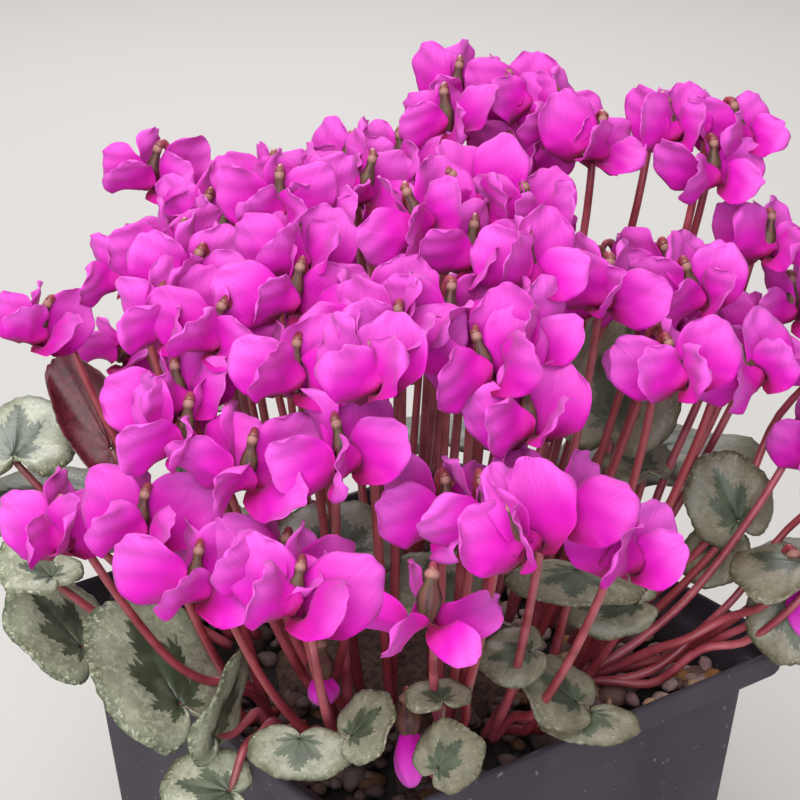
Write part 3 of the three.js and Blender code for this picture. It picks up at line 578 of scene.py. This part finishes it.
def spread_feet(places, radii, circles):
    """Pushes feet apart on the ground until they have their room; feet with a circle stay on it."""
    need = radii[:, None] + radii[None] + GAP + SPREAD_ROOM
    for _ in range(SPREAD_ROUNDS):
        between = places[:, None] - places[None]
        apart = np.linalg.norm(between, axis=-1)
        np.fill_diagonal(apart, np.inf)
        push = SPREAD_PUSH * np.maximum(need - apart, 0) / apart
        places = places + (push[..., None] * between).sum(1)
        on_circle = unit(places) * np.maximum(circles, 1)[:, None]
        places = np.where(circles[:, None] > 0, on_circle, places)
    level = np.maximum(crown_at(np.linalg.norm(places, axis=1)), GRIT_TOP) + GAP + radii * FOOT_RISE
    return np.column_stack([places, level])


owners = shoot_count + len(BUDS)
middles = np.stack([hooks[owner_of_hook == owner].mean(0) for owner in range(owners)])[:, :2] * CROWN_SHARE
notches = np.stack([leaf["notch"] for leaf in leaves])
leaf_groups = leaf_owners.max() + 1
group_notches = np.stack([notches[leaf_owners == group].sum(0) for group in range(leaf_groups)])
feet = spread_feet(
    np.concatenate([middles, unit(group_notches[:, :2]) * STALK_CIRCLE]),
    np.repeat([SHOOT_RADIUS, STALK_RADIUS * 1.3], [owners, leaf_groups]),
    np.repeat([0, STALK_CIRCLE], [owners, leaf_groups]),
)


def strand_points(foot, top, sag):
    """Points from foot to top on a straight line, each lowered by sag times the reach times 4 s (1 - s)."""
    share = np.linspace(0, 1, STRAND_POINTS)[:, None]
    reach = np.linalg.norm((top - foot)[:2])
    return foot + (top - foot) * share - UP * 4 * share * (1 - share) * sag * reach


shoot_tops = feet[owner_of_hook] + UP * SHOOT_RADIUS * 0.4
strands = [strand_points(foot, hook, STEM_SAG) for foot, hook in zip(shoot_tops, hooks)]
strands += [strand_points(foot, notch, STALK_SAG) for foot, notch in zip(feet[owners + leaf_owners], notches)]


def spread_strands(strands, strand_owners, radii, cores, core_owners):
    """Pushes strands apart in rounds. Each pair of stretches closer than the radii and the gap is pushed
    along its closest line, and the ends of each stretch share the push. Ends and cores stay still."""
    places = np.concatenate([*strands, cores.reshape(-1, 3)])
    count = len(strands) * STRAND_POINTS
    moves = np.zeros(len(places), bool)
    moves[:count] = (np.arange(count) % STRAND_POINTS % (STRAND_POINTS - 1)) > 0
    starts = np.concatenate([
        (np.arange(len(strands))[:, None] * STRAND_POINTS + np.arange(STRAND_POINTS - 1)).ravel(),
        count + 2 * np.arange(len(cores)),
    ])
    owner = np.concatenate([np.repeat(strand_owners, STRAND_POINTS - 1), core_owners])
    radius = np.concatenate([np.repeat(radii, STRAND_POINTS - 1), np.full(len(cores), FLOWER_CORE)])
    one, other = np.triu_indices(len(starts), 1)
    keep = (owner[one] != owner[other]) & (one < len(starts) - len(cores))
    one, other = one[keep], other[keep]
    need = radius[one] + radius[other] + GAP + SPREAD_ROOM
    a, c = starts[one], starts[other]
    for _ in range(SPREAD_ROUNDS):
        u, v, w = places[a + 1] - places[a], places[c + 1] - places[c], places[a] - places[c]
        uu, uv, vv, uw, vw = ((x * y).sum(-1) for x, y in ((u, u), (u, v), (v, v), (u, w), (v, w)))
        s = np.clip((uv * vw - vv * uw) / np.maximum(uu * vv - uv * uv, 1e-9), 0, 1)
        t = np.clip((uv * s + vw) / vv, 0, 1)
        s = np.clip((uv * t - uw) / uu, 0, 1)
        between = w + u * s[:, None] - v * t[:, None]
        apart = np.linalg.norm(between, axis=-1)
        close = np.flatnonzero(apart < need)
        push = between[close] * (SPREAD_PUSH * (need - apart)[close] / apart[close])[:, None]
        s, t = s[close, None], t[close, None]
        pushes = np.zeros_like(places)
        for index, share in ((a[close], push * (1 - s)), (a[close] + 1, push * s),
                             (c[close], -push * (1 - t)), (c[close] + 1, -push * t)):
            np.add.at(pushes, index, share)
        places = np.where(moves[:, None], places + pushes, places)
        out = np.abs(places[:, :2]).max(1)
        over_rim = (out > RIM_HALF - RIM_REACH - 5) & (out < RIM_HALF + 6)
        lowest = np.where(over_rim, POT_HEIGHT + OVER_RIM, GRIT_TOP + OVER_GRIT)
        places[:, 2] = np.where(moves, np.maximum(places[:, 2], lowest), places[:, 2])
    return places[:count].reshape(-1, STRAND_POINTS, 3)


strand_owners = np.concatenate([owner_of_hook, owners + leaf_owners])
strand_radii = np.repeat([STEM_RADIUS, STALK_RADIUS], [len(hooks), len(leaves)])
mouths = hooks + UP * (2 - FLOWER_DEPTH)
strands = spread_strands(strands, strand_owners, strand_radii, np.stack([hooks, mouths], 1), owner_of_hook)
stem_runs, stalk_runs = strands[: len(hooks)], strands[len(hooks) :]


def smooth_path(points, count):
    """A smooth curve through points: Catmull-Rom pieces between them, at evenly spaced shares."""
    points = np.concatenate([2 * points[:1] - points[1:2], points, 2 * points[-1:] - points[-2:-1]])
    share = np.linspace(0, len(points) - 3 - 1e-9, count)
    piece = share.astype(int)
    t = (share - piece)[:, None]
    p0, p1, p2, p3 = (points[piece + k] for k in range(4))
    return 0.5 * (2 * p1 + (p2 - p0) * t + (2 * p0 - 5 * p1 + 4 * p2 - p3) * t**2
                  + (3 * p1 - 3 * p2 + p3 - p0) * t**3)


def tube(path, radii, side, sides=8, tone=0.0):
    """A tube: at each point of the path, a ring of the radius on two axes square to the path. The map's
    second coordinate runs along it."""
    ahead = unit(np.gradient(path, axis=0))
    first = unit(side - (ahead @ side)[:, None] * ahead)
    second = np.cross(ahead, first)
    turn = circle(sides)
    ring = np.cos(turn)[None, :, None] * first[:, None] + np.sin(turn)[None, :, None] * second[:, None]
    rings = path[:, None] + ring * radii[:, None, None]
    uv = np.broadcast_arrays(turn / (2 * np.pi), np.linspace(0, 1, len(path))[:, None])
    return ringed(rings, np.stack(uv, -1), tone)


def sheet(grid, thickness, uv, tone=0.0):
    """A thin closed sheet: the grid moved half the thickness each way along its normals, borders joined."""
    rows, columns = grid.shape[:2]
    along, across = np.gradient(grid, axis=0), np.gradient(grid, axis=1)
    normal = unit(np.cross(across, along))
    half = thickness[..., None] / 2
    count = rows * columns
    top = np.arange(count).reshape(rows, columns)
    low = top + count
    quads = grid_quads(rows, columns)
    edges = [
        (low[0, :-1], low[0, 1:], top[0, 1:], top[0, :-1]),
        (top[-1, :-1], top[-1, 1:], low[-1, 1:], low[-1, :-1]),
        (low[:-1, 0], top[:-1, 0], top[1:, 0], low[1:, 0]),
        (low[:-1, -1], low[1:, -1], top[1:, -1], top[:-1, -1]),
    ]
    faces = [quads, quads[:, ::-1] + count] + [np.stack(edge, -1) for edge in edges]
    points = np.stack([grid + normal * half, grid - normal * half])
    return surface(points, faces, np.stack([uv, uv]), tone, np.repeat([0.0, 1.0], count))


# ---------------------------------------------------------------- leaves
# Heart-shaped blades 10 to 30 mm long on dark red stalks that join at the notch. The upper side is marbled: a
# dark green figure with a jagged holly edge along the veins, silver round it, and a mottled green margin
# with pale flecks. The underside is maroon. Margins are finely toothed and turn down a little.
BLADE_THICKNESS = 0.5


def blade_sheet(leaf, seed, rows=16, columns=72):
    """A blade on a grid of distance from the notch (rho) by direction (turn). The outline is long ahead,
    shorter behind, parted at the notch and toothed. The height is a dish, a wave round the margin that grows
    with rho cubed, an edge turned down with rho to the eighth, a groove on the midrib and drooping sides."""
    vary = np.random.default_rng(seed)
    around = np.linspace(np.pi - 0.1, 0.1 - np.pi, columns)
    rho, turn = np.meshgrid(np.linspace(0.03, 1, rows), around, indexing="ij")
    lobes = 1 - 0.45 * np.exp(-(((np.abs(turn) - np.pi) / 0.3) ** 2))
    teeth = 1 + 0.012 * np.sin(turn * 34) + 0.02 * np.sin(turn * 9 + vary.uniform(0, 6))
    length = leaf["length"]
    reach = rho * (0.22 + 0.64 * np.cos(turn / 2) ** 1.1) * lobes * teeth * length
    ahead = reach * np.cos(turn) + 0.06 * length * rho
    beside = 0.8 * reach * np.sin(turn) * leaf["broad"]
    wave = 0.05 * np.sin(turn * 3 + vary.uniform(0, 6)) + 0.03 * np.sin(turn * 7 + vary.uniform(0, 6))
    rib = -0.012 * np.exp(-((turn / 0.12) ** 2)) * (1 - rho)
    dish = 0.05 * rho * (2 - rho) + wave * rho**3 - 0.05 * rho**8 + rib - 0.12 * (beside / length) ** 2
    steps = ((ahead, "along"), (beside, "across"), (length * dish, "normal"))
    grid = leaf["notch"] + sum(step[..., None] * leaf[way] for step, way in steps)
    uv = np.stack([turn / (2 * np.pi) + 0.5, rho], -1)
    # Leaves further to the right in the view get more of a darker brown tint.
    brown_share = 0.85 + leaf["notch"] @ SIDEWAYS / 45 + vary.uniform(-0.15, 0.15)
    return sheet(grid, BLADE_THICKNESS * (1 - 0.5 * rho**4), uv, np.clip(brown_share, 0, 1))


def own_map(material):
    """The two coordinates of a piece's own map, which follow its surface."""
    return add(material, "SeparateXYZ", add(material, "TexCoord").outputs["UV"]).outputs[:2]


# Leaf skin is waxy, so it has a soft sheen of its own. The silver parts are air under the skin; the figure is
# green where the skin lies close, and leaves further to the right in the view are tinted a darker brown.
VEINS = 9.0
blade = new_material("leaf_marbled")
leaf_turn, leaf_rho = own_map(blade)
leaf_tone = add(blade, "Attribute", attribute_name="tone").outputs["Fac"]
leaf_under = add(blade, "Attribute", attribute_name="under").outputs["Fac"]
mottle = cloudy(blade, 1.6, 4, rough=0.65)
drift = cloudy(blade, 5.0, 2)
# Veins leave the notch in VEINS directions: vein is 1 on a vein and 0 halfway between two. The midrib's share
# falls from 1 at the middle of the leaf to 0.
vein = add(blade, "zigzag", add(blade, "times", leaf_turn, VEINS * 2), 1.0)
teeth = add(blade, "saw", total(blade, (leaf_rho, 9.0), (vein, 1.0)))
off_midrib = add(blade, "size", add(blade, "minus", leaf_turn, 0.5))
midrib = add(blade, "larger", add(blade, "minus", 1.0, add(blade, "times", off_midrib, 5.0)), 0.0)
# The figure ends at a share of the way to the margin that is larger along veins and the midrib, with teeth.
figure_end = total(blade, (vein, 0.24), (midrib, 0.34), (teeth, 0.10), (mottle, 0.16))
in_figure = add(blade, "minus", add(blade, "plus", figure_end, 0.10), leaf_rho)
figure = add(blade, "rise", in_figure, -0.02, 0.02)
to_margin = total(blade, (leaf_rho, 1.0), (add(blade, "minus", mottle, 0.5), 0.6))
margin = add(blade, "rise", to_margin, 0.80, 0.93)
flecks = add(blade, "rise", cloudy(blade, 0.8, 2, rough=0.8), 0.59, 0.67)
speckle = add(blade, "rise", cloudy(blade, 0.9, 4, rough=0.75), 0.48, 0.66)
patches = add(blade, "rise", mottle, 0.5, 0.6)
silver = stained(
    blade, two_tone(blade, drift, 0.3, 0.7, "#7F8570", "#979B86"),
    ("#5C624B", speckle, 0.6), ("#ABAF98", patches, 0.6))
dark = two_tone(blade, drift, 0.35, 0.65, "#36402F", "#4E5945")
green = two_tone(blade, mottle, 0.43, 0.57, "#4A523C", "#7C826A")
green = stained(blade, green, ("#BDBEA6", flecks, 0.8))
upper = stained(blade, add(blade, "blend", margin, silver, green), ("#544432", leaf_tone, 0.55))
upper = add(blade, "blend", figure, upper, dark)
under = two_tone(blade, mottle, 0.3, 0.7, "#3E0F1A", "#6A2430")
relief = total(blade, (mottle, 0.5), (vein, -0.4))
finish_surface(blade, add(blade, "blend", leaf_under, upper, under), 0.42, relief, 0.5, 0.5)

# Stalks and stems share one skin: watery red, with paler pinker cloudy patches that are painted light shining
# through, browner near the hook.
stalk_skin = new_material("stalk_red")
stalk_along = own_map(stalk_skin)[1]
stalk_tone = add(stalk_skin, "Attribute", attribute_name="tone").outputs["Fac"]
# The paler pinker patches are painted light coming through the stalks.
stalk_colour = two_tone(stalk_skin, cloudy(stalk_skin, 7.0, 3), 0.3, 0.7, "#782530", "#AA525E")
stalk_colour = add(stalk_skin, "blend", stalk_tone, stalk_colour, "#8A3038")
stalk_colour = two_tone(stalk_skin, stalk_along, 0.86, 1.0, stalk_colour, "#74403C")
finish_surface(stalk_skin, stalk_colour, 0.4, cloudy(stalk_skin, 0.6, 3), 0.2, 0.1, Coat_Weight=0.15)

STALK_POINTS, STALK_THICK, STALK_THIN = 26, 1.15, 0.75


def stalk_surface(index):
    """A leaf's stalk, thinning to the notch, which it meets from under the blade."""
    leaf, run = leaves[index], stalk_runs[index]
    join = leaf["notch"] - leaf["normal"] * 0.6
    path = smooth_path(np.concatenate([run[:-1], [join]]), STALK_POINTS)
    radii = np.linspace(STALK_THICK, STALK_THIN, STALK_POINTS)
    return tube(path, radii, unit(np.cross(run[-1] - run[0], UP)), 8, index % 5 / 5)


for group in range(leaf_groups):
    name = f"leaf_{group + 1:02d}"
    members = np.flatnonzero(leaf_owners == group)
    make_piece(name + "_stalk", [stalk_surface(i) for i in members], stalk_skin, [name])
    make_piece(name + "_blade", [blade_sheet(leaves[i], 100 + i) for i in members], blade, [name])

# ---------------------------------------------------------------- flower stems and calyces
# A stem thins upwards, rises behind its flower and bends right over at the hook, where it swells to a small
# pale knob. The calyx hangs from the knob: five narrow brown-green sepals grown round the flower's tube.
CALYX_LENGTH, KNOB_RISE, STEM_POINTS = 8.8, 1.2, 40
CALYX_SHARES = [0, 0.04, 0.11, 0.19, 0.26, 0.38, 0.54, 0.7, 0.86, 1.0]
CALYX_RADII = [0.5, 0.84, 0.96, 0.86, 0.8, 1.2, 1.55, 1.42, 1.1, 0.7]

# Flowers nod outwards from the plant, and in view also towards the light and the view.
NOD_REACH, NOD_IN_VIEW, NOD_JITTER = 60, 0.55, 0.22
order = np.arange(len(hooks))
in_view = (order < len(seen_hooks)) | (order >= flower_count)
jitter = np.random.default_rng(11).normal(size=hooks.shape) * (NOD_JITTER, NOD_JITTER, 0)
outwards = hooks * (1, 1, 0) / NOD_REACH * np.where(in_view, NOD_IN_VIEW, 1.0)[:, None]
nods = unit(outwards + TOWARDS * in_view[:, None] + jitter)
# Every flower takes its pose from a random draw of its own. These numbers weren't chosen by hand: a search,
# run apart from this script, kept the draws whose petals best cover the ones in view.
FLOWER_DRAWS = [
    2301, 6212, 3525, 2663, 6012, 2828, 945, 7934, 3277, 7294, 228, 7534, 3890, 6161, 1367, 605, 4118,
    3084, 1022, 4144, 5302, 6296, 9940, 4341, 8760, 7721, 9578, 5110, 5292, 5759, 1912, 8099, 9670,
    6066, 4798, 8969, 5312, 4025, 5368, 6861, 3299, 4865, 5594, 6513, 7046, 8363, 3858, 9810, 98, 2833,
    1430, 2509, 7189, 1759, 8714, 3506, 4886, 8598, 6557, 1341, 6759, 9285, 8982, 8401, 2260, 9938,
    5826, 5484, 1408, 4287, 5909, 71, 8261, 807, 1950, 24, 767, 8786, 2771, 1775, 1056, 8182, 4240,
    6456, 6842, 5327, 386, 134,
]
draws = [np.random.default_rng(draw) for draw in FLOWER_DRAWS + list(range(len(BUDS)))]
LEAN, LEAN_VARIES = 0.34, (0.14, 0.2)
lean = np.array([draw.normal(size=2) for draw in draws]) * LEAN_VARIES
axes = unit(nods * (LEAN + lean[:, :1]) + np.cross(nods, UP) * lean[:, 1:] - UP)


def stem_surface(index):
    """A stem with its hook: up behind the flower, over at the hook's pixel and down into the calyx."""
    hook, nod, run = hooks[index], nods[index], stem_runs[index]
    behind = hook - nod * 2.6 - UP * 4
    top = hook + UP * KNOB_RISE
    over = [top - nod * 1.6 - UP * 1.2, top - nod * 0.4 + UP * 0.1, top + nod * 0.7 - UP * 0.7]
    path = smooth_path(np.concatenate([run[:-1], [behind], over]), STEM_POINTS)
    share = np.linspace(0, 1, STEM_POINTS)
    radii = 1.0 - 0.38 * share + 0.35 * np.exp(-(((share - 0.97) / 0.03) ** 2))
    return tube(path, radii, unit(np.cross(nod, UP)), 8, index % 7 / 7)


def knob_at(index):
    """The place of a flower's knob: just ahead of the hook and under its top."""
    return hooks[index] + nods[index] * 0.5 + UP * (KNOB_RISE - 0.1)


def calyx_surface(index, length=CALYX_LENGTH, wide=1.0):
    """A calyx: a pale knob under the hook, a waist, and a narrow urn along the flower's axis. Its radius is
    given at shares of its length."""
    share = np.linspace(0, 1, 18)
    path = knob_at(index) + axes[index] * (share * length)[:, None]
    radii = wide * np.interp(share, CALYX_SHARES, CALYX_RADII)
    return tube(path, radii, nods[index], 12, index % 5 / 5)


# Sepals are dull and finely hairy, dark red-brown with five greener ribs, and the knob is paler.
calyx_skin = new_material("calyx_brown_green")
calyx_around, calyx_along = own_map(calyx_skin)
ribs = add(calyx_skin, "zigzag", add(calyx_skin, "times", calyx_around, 10.0), 1.0)
sepal = two_tone(calyx_skin, ribs, 0.25, 0.75, "#34141A", "#5E342E")
sepal = two_tone(calyx_skin, cloudy(calyx_skin, 2.0, 3), 0.45, 0.75, sepal, "#524628")
calyx_colour = two_tone(calyx_skin, calyx_along, 0.1, 0.2, "#946860", sepal)
finish_surface(calyx_skin, calyx_colour, 0.6, cloudy(calyx_skin, 0.5, 3), 0.4, 0.2)

# ---------------------------------------------------------------- petals
# Five petals grow from the mouth of each nodding flower. Each leaves downwards, folds sharply back and twists
# like a propeller blade, so that side petals stand broad side to the view. They are thin, velvety, magenta,
# paler to the tip, partly with painted shade at the base and painted highlight at the tip, with a dark blotch
# at the base.
PETAL_LENGTH, PETAL_WIDTH, PETAL_THICKNESS = 12.9, 10.2, 0.22
PETAL_SHARES = [0, 0.04, 0.09, 0.15, 0.24, 0.36, 0.5, 0.66, 0.8, 0.9, 1.0]
PETAL_HALVES = [0.17, 0.3, 0.55, 0.74, 0.87, 0.95, 1.0, 0.99, 0.92, 0.8, 0.56]
FLOWER_SPAN, SPAN_GAIN = 21.0, 0.05
# How far petals fold back, in degrees from the flower's axis. One flower in view is newly open: its petals
# are narrower and less folded, and its calyx is stout.
REFLEX, NEW_REFLEX, NEW_BREADTH, NEW_CALYX = 140.0, 100.0, 0.66, 1.4
NEW_FLOWER = hook_pixels.tolist().index([433, 573])


def petal_sheet(mouth, axis, out, size, length, reflex, twist, vary, rows=19, columns=17):
    """A petal on a grid of share along it (s) by share across it (t). The midline leaves down and outwards
    and turns back to the reflex angle over its first sixth. The half width widens fast from a claw, is full
    half way and closes to a blunt end, a little notched and skew. The way across turns by the twist. The
    height is a fold on the midline, a bend across and a ripple at the edge. The rim is thinner."""
    s, t = np.meshgrid(np.linspace(0, 1, rows), np.linspace(-1, 1, columns), indexing="ij")
    notch, skew = vary.uniform(-0.02, 0.06), vary.uniform(-0.07, 0.07)
    blunt = 0.15 * np.abs(t) ** 2.4 + notch * np.exp(-((t / 0.3) ** 2)) + skew * t
    reach = s * (1 - blunt * s**2)
    fine = np.linspace(0, 1, 60)
    bend = np.radians(40 + (reflex - 40) * np.clip(fine / 0.16, 0, 1))
    line = np.cumsum(np.stack([np.cos(bend), np.sin(bend)], -1), 0) / 60 * length
    down, outward = (np.interp(reach, fine, line[:, k]) for k in (0, 1))
    angle = np.interp(reach, fine, bend)[..., None]
    tangent = np.cos(angle) * axis + np.sin(angle) * out
    around = np.cross(axis, out)
    normal = np.cross(tangent, np.broadcast_to(around, tangent.shape))
    roll = np.radians(twist) * np.clip(reach / 0.3, 0, 1)
    way = np.cos(roll)[..., None] * around + np.sin(roll)[..., None] * normal
    lift = np.cross(tangent, way)
    half = np.interp(s, PETAL_SHARES, PETAL_HALVES) * PETAL_WIDTH / 2 * size
    fold = vary.uniform(-0.22, 0.08) * np.abs(t) * np.sin(np.pi * reach)
    curl = vary.uniform(-0.16, 0.18) * t**2 * reach + vary.uniform(-0.14, 0.14) * t**3 * reach
    ripple = (0.1 * np.sin(reach * 8 + t * 4 + vary.uniform(0, 6)) * t**2
              + 0.03 * np.sin(reach * 17 - t * 6 + vary.uniform(0, 6))) * reach
    rise = (fold + curl + ripple) * PETAL_WIDTH * size
    grid = (mouth + axis * down[..., None] + out * (outward + 1.1)[..., None]
            + way * (half * t)[..., None] + lift * rise[..., None])
    thin = 1 - 0.75 * np.maximum(np.abs(t), s) ** 6
    return sheet(grid, PETAL_THICKNESS * thin, np.stack([t / 2 + 0.5, s], -1), vary.uniform(0, 1))


def flower_axes(index):
    """A flower's axis, the way forward square to it, and the way beside."""
    nod, axis = nods[index], axes[index]
    forward = unit(nod - (nod @ axis) * axis)
    return axis, forward, np.cross(axis, forward)


def flower_surfaces(index):
    """A flower: five petals a fifth of a turn apart, those at the front shorter and less folded back. Flowers
    nearer the view are a little larger."""
    axis, forward, beside = flower_axes(index)
    vary = draws[index]
    mouth = knob_at(index) + axis * CALYX_LENGTH
    size = (FLOWER_SPAN + SPAN_GAIN * max(hooks[index] @ TOWARDS, 0)) / FLOWER_SPAN
    phase = vary.uniform(-36, 36)
    opening = (NEW_REFLEX if index == NEW_FLOWER else REFLEX) + vary.normal() * 10
    petals = []
    for k in range(5):
        turn = np.radians(72 * k + phase + vary.uniform(-9, 9))
        out = np.cos(turn) * forward + np.sin(turn) * beside
        one = size * vary.uniform(0.9, 1.08)
        broad = (NEW_BREADTH if index == NEW_FLOWER else 1) * (1 - 0.08 * np.cos(turn))
        petals.append(petal_sheet(
            mouth, axis, out, one * broad, one * PETAL_LENGTH * (1 - 0.22 * np.cos(turn)),
            opening - 22 * np.cos(turn) + vary.normal() * 8, vary.uniform(54, 86), vary))
    return petals


# Petal skin is velvet: tiny domed cells make it soft, without gloss and a little paler at grazing angles, and
# a third of the light comes through it.
velvet = new_material("petal_velvet")
petal_across, petal_along = own_map(velvet)
petal_tone = add(velvet, "Attribute", attribute_name="tone").outputs["Fac"]
# Darker to the base and paler to the tip: partly the petal's own colour, partly painted shade near the mouth
# and painted highlight on the tips, which face the lamp above.
petal_colour_and_painted_light = two_tone(velvet, petal_along, 0.05, 0.45, "#B20478", "#D618C0")
petal_colour_and_painted_light = two_tone(velvet, petal_along, 0.4, 0.9, petal_colour_and_painted_light, "#E668DE")
# Fine lengthwise veins, about 0.5 mm apart, drawn wider than the real ones so that they show.
streak = add(velvet, "CombineXYZ", add(velvet, "times", petal_across, 16.0), petal_along)
petal_veins = add(velvet, "TexNoise", {"Vector": streak, "Scale": 1.6, "Detail": 3.0})
blotch = add(velvet, "minus", 1.0, add(velvet, "rise", petal_along, 0.09, 0.2))
petal_colour_and_painted_light = stained(
    velvet, petal_colour_and_painted_light, ("#C80EA8", petal_tone, 0.35),
    ("#C212A4", add(velvet, "rise", petal_veins, 0.45, 0.7), 0.22), ("#7A0038", blotch, 0.85))
lit_through = add(velvet, "BsdfTranslucent", add(velvet, "blend", 0.5, petal_colour_and_painted_light, "#F018A8"))
finish_surface(
    velvet, petal_colour_and_painted_light, 0.6, petal_veins, 0.45, 0.25, through=(lit_through, 0.3),
    Sheen_Weight=0.1, Sheen_Roughness=0.5, Specular_IOR_Level=0.2)

for shoot in range(shoot_count):
    name = f"flower_shoot_{shoot + 1:02d}"
    members = np.flatnonzero(owner_of_hook == shoot)
    make_piece(name + "_stems", [stem_surface(i) for i in members], stalk_skin, [name])
    calyces = [calyx_surface(i, wide=NEW_CALYX if i == NEW_FLOWER else 1.0) for i in members]
    make_piece(name + "_calyces", calyces, calyx_skin, [name])
    make_piece(name + "_petals", [p for i in members for p in flower_surfaces(i)], velvet, [name])

# ---------------------------------------------------------------- buds
# A nodding bud is a pointed roll of the five petals, wound in a spiral. Its foot is tucked into the calyx,
# which hangs from a stem like a flower's.
BUD_CALYX, BUD_TUCK, BUD_RADIUS = 8.0, 1.5, 2.8
BUD_LENGTHS = [17.0, 17.0, 12.0]


def bud_surface(index):
    """A bud: rings whose radius swells and closes to a point, each with five ridges that turn with length."""
    share = np.linspace(0, 1, 22)[:, None]
    turn = circle(30)[None]
    swell = np.sin(np.pi * (0.12 + 0.86 * share) ** 1.25) ** 0.55
    radius = BUD_RADIUS * swell * (1 + 0.1 * np.cos(5 * turn + 5 * share))
    axis, first, second = flower_axes(index)
    foot = knob_at(index) + axis * (BUD_CALYX - BUD_TUCK)
    down = share * (BUD_LENGTHS[index - flower_count] - BUD_CALYX + BUD_TUCK)
    around = np.cos(turn)[..., None] * first + np.sin(turn)[..., None] * second
    rings = foot + axis * down[..., None] + radius[..., None] * around
    return ringed(rings, np.stack(np.broadcast_arrays(turn / (2 * np.pi), 0.3 + 0.5 * share), -1), 0.5)


for bud in range(len(BUDS)):
    name = f"bud_{bud + 1:02d}"
    index = flower_count + bud
    make_piece(name + "_stem", [stem_surface(index)], stalk_skin, [name])
    make_piece(name + "_calyx", [calyx_surface(index, BUD_CALYX, 1.7)], calyx_skin, [name])
    make_piece(name + "_petals", [bud_surface(index)], velvet, [name])

# ---------------------------------------------------------------- studio
# A plain pale matt floor under soft light: a broad lamp above, weaker ones in front and behind, and a pale
# surround that fills the shadows.
FLOOR_HALF, SURROUND_STRENGTH, PLANT_MIDDLE = 4.0, 0.42, 150.0
floor_mesh = bpy.data.meshes.new("floor")
floor_corners = [(x * FLOOR_HALF, y * FLOOR_HALF, 0) for x, y in ((-1, -1), (1, -1), (1, 1), (-1, 1))]
floor_mesh.from_pydata(floor_corners, [], [(0, 1, 2, 3)])
studio_floor = placed("floor", floor_mesh)
floor_finish = new_material("matt_pale_floor")
finish_surface(floor_finish, "#BDBBB9", 0.9)
floor_mesh.materials.append(floor_finish)


def lamp(name, place, size, power, colour):
    """A square soft lamp at a place in metres, aimed at the middle of the plant."""
    data = bpy.data.lights.new(name, "AREA")
    data.size, data.energy, data.color = size, power, linear(colour)[:3]
    place = np.array(place) / MM
    back = unit(place - UP * PLANT_MIDDLE)
    right = unit(np.cross(UP, back))
    placed(name, data).matrix_world = standing(right, np.cross(back, right), back, place)


lamp("key_lamp", [-0.45, -0.3, 0.95], 0.9, 13.8, "#FFFAF4")
lamp("fill_lamp", [-0.72, -0.72, 0.35], 0.8, 7.5, "#F4F6FF")
lamp("back_lamp", [0.5, 0.8, 0.8], 0.6, 8.0, "#FFFFFF")
world = bpy.data.worlds.new("surround")
world.use_nodes = True
surround = world.node_tree.nodes["Background"].inputs
surround["Color"].default_value, surround["Strength"].default_value = linear("#E6E6E8"), SURROUND_STRENGTH
bpy.context.scene.world = world
bpy.context.scene.view_settings.view_transform = "Standard"
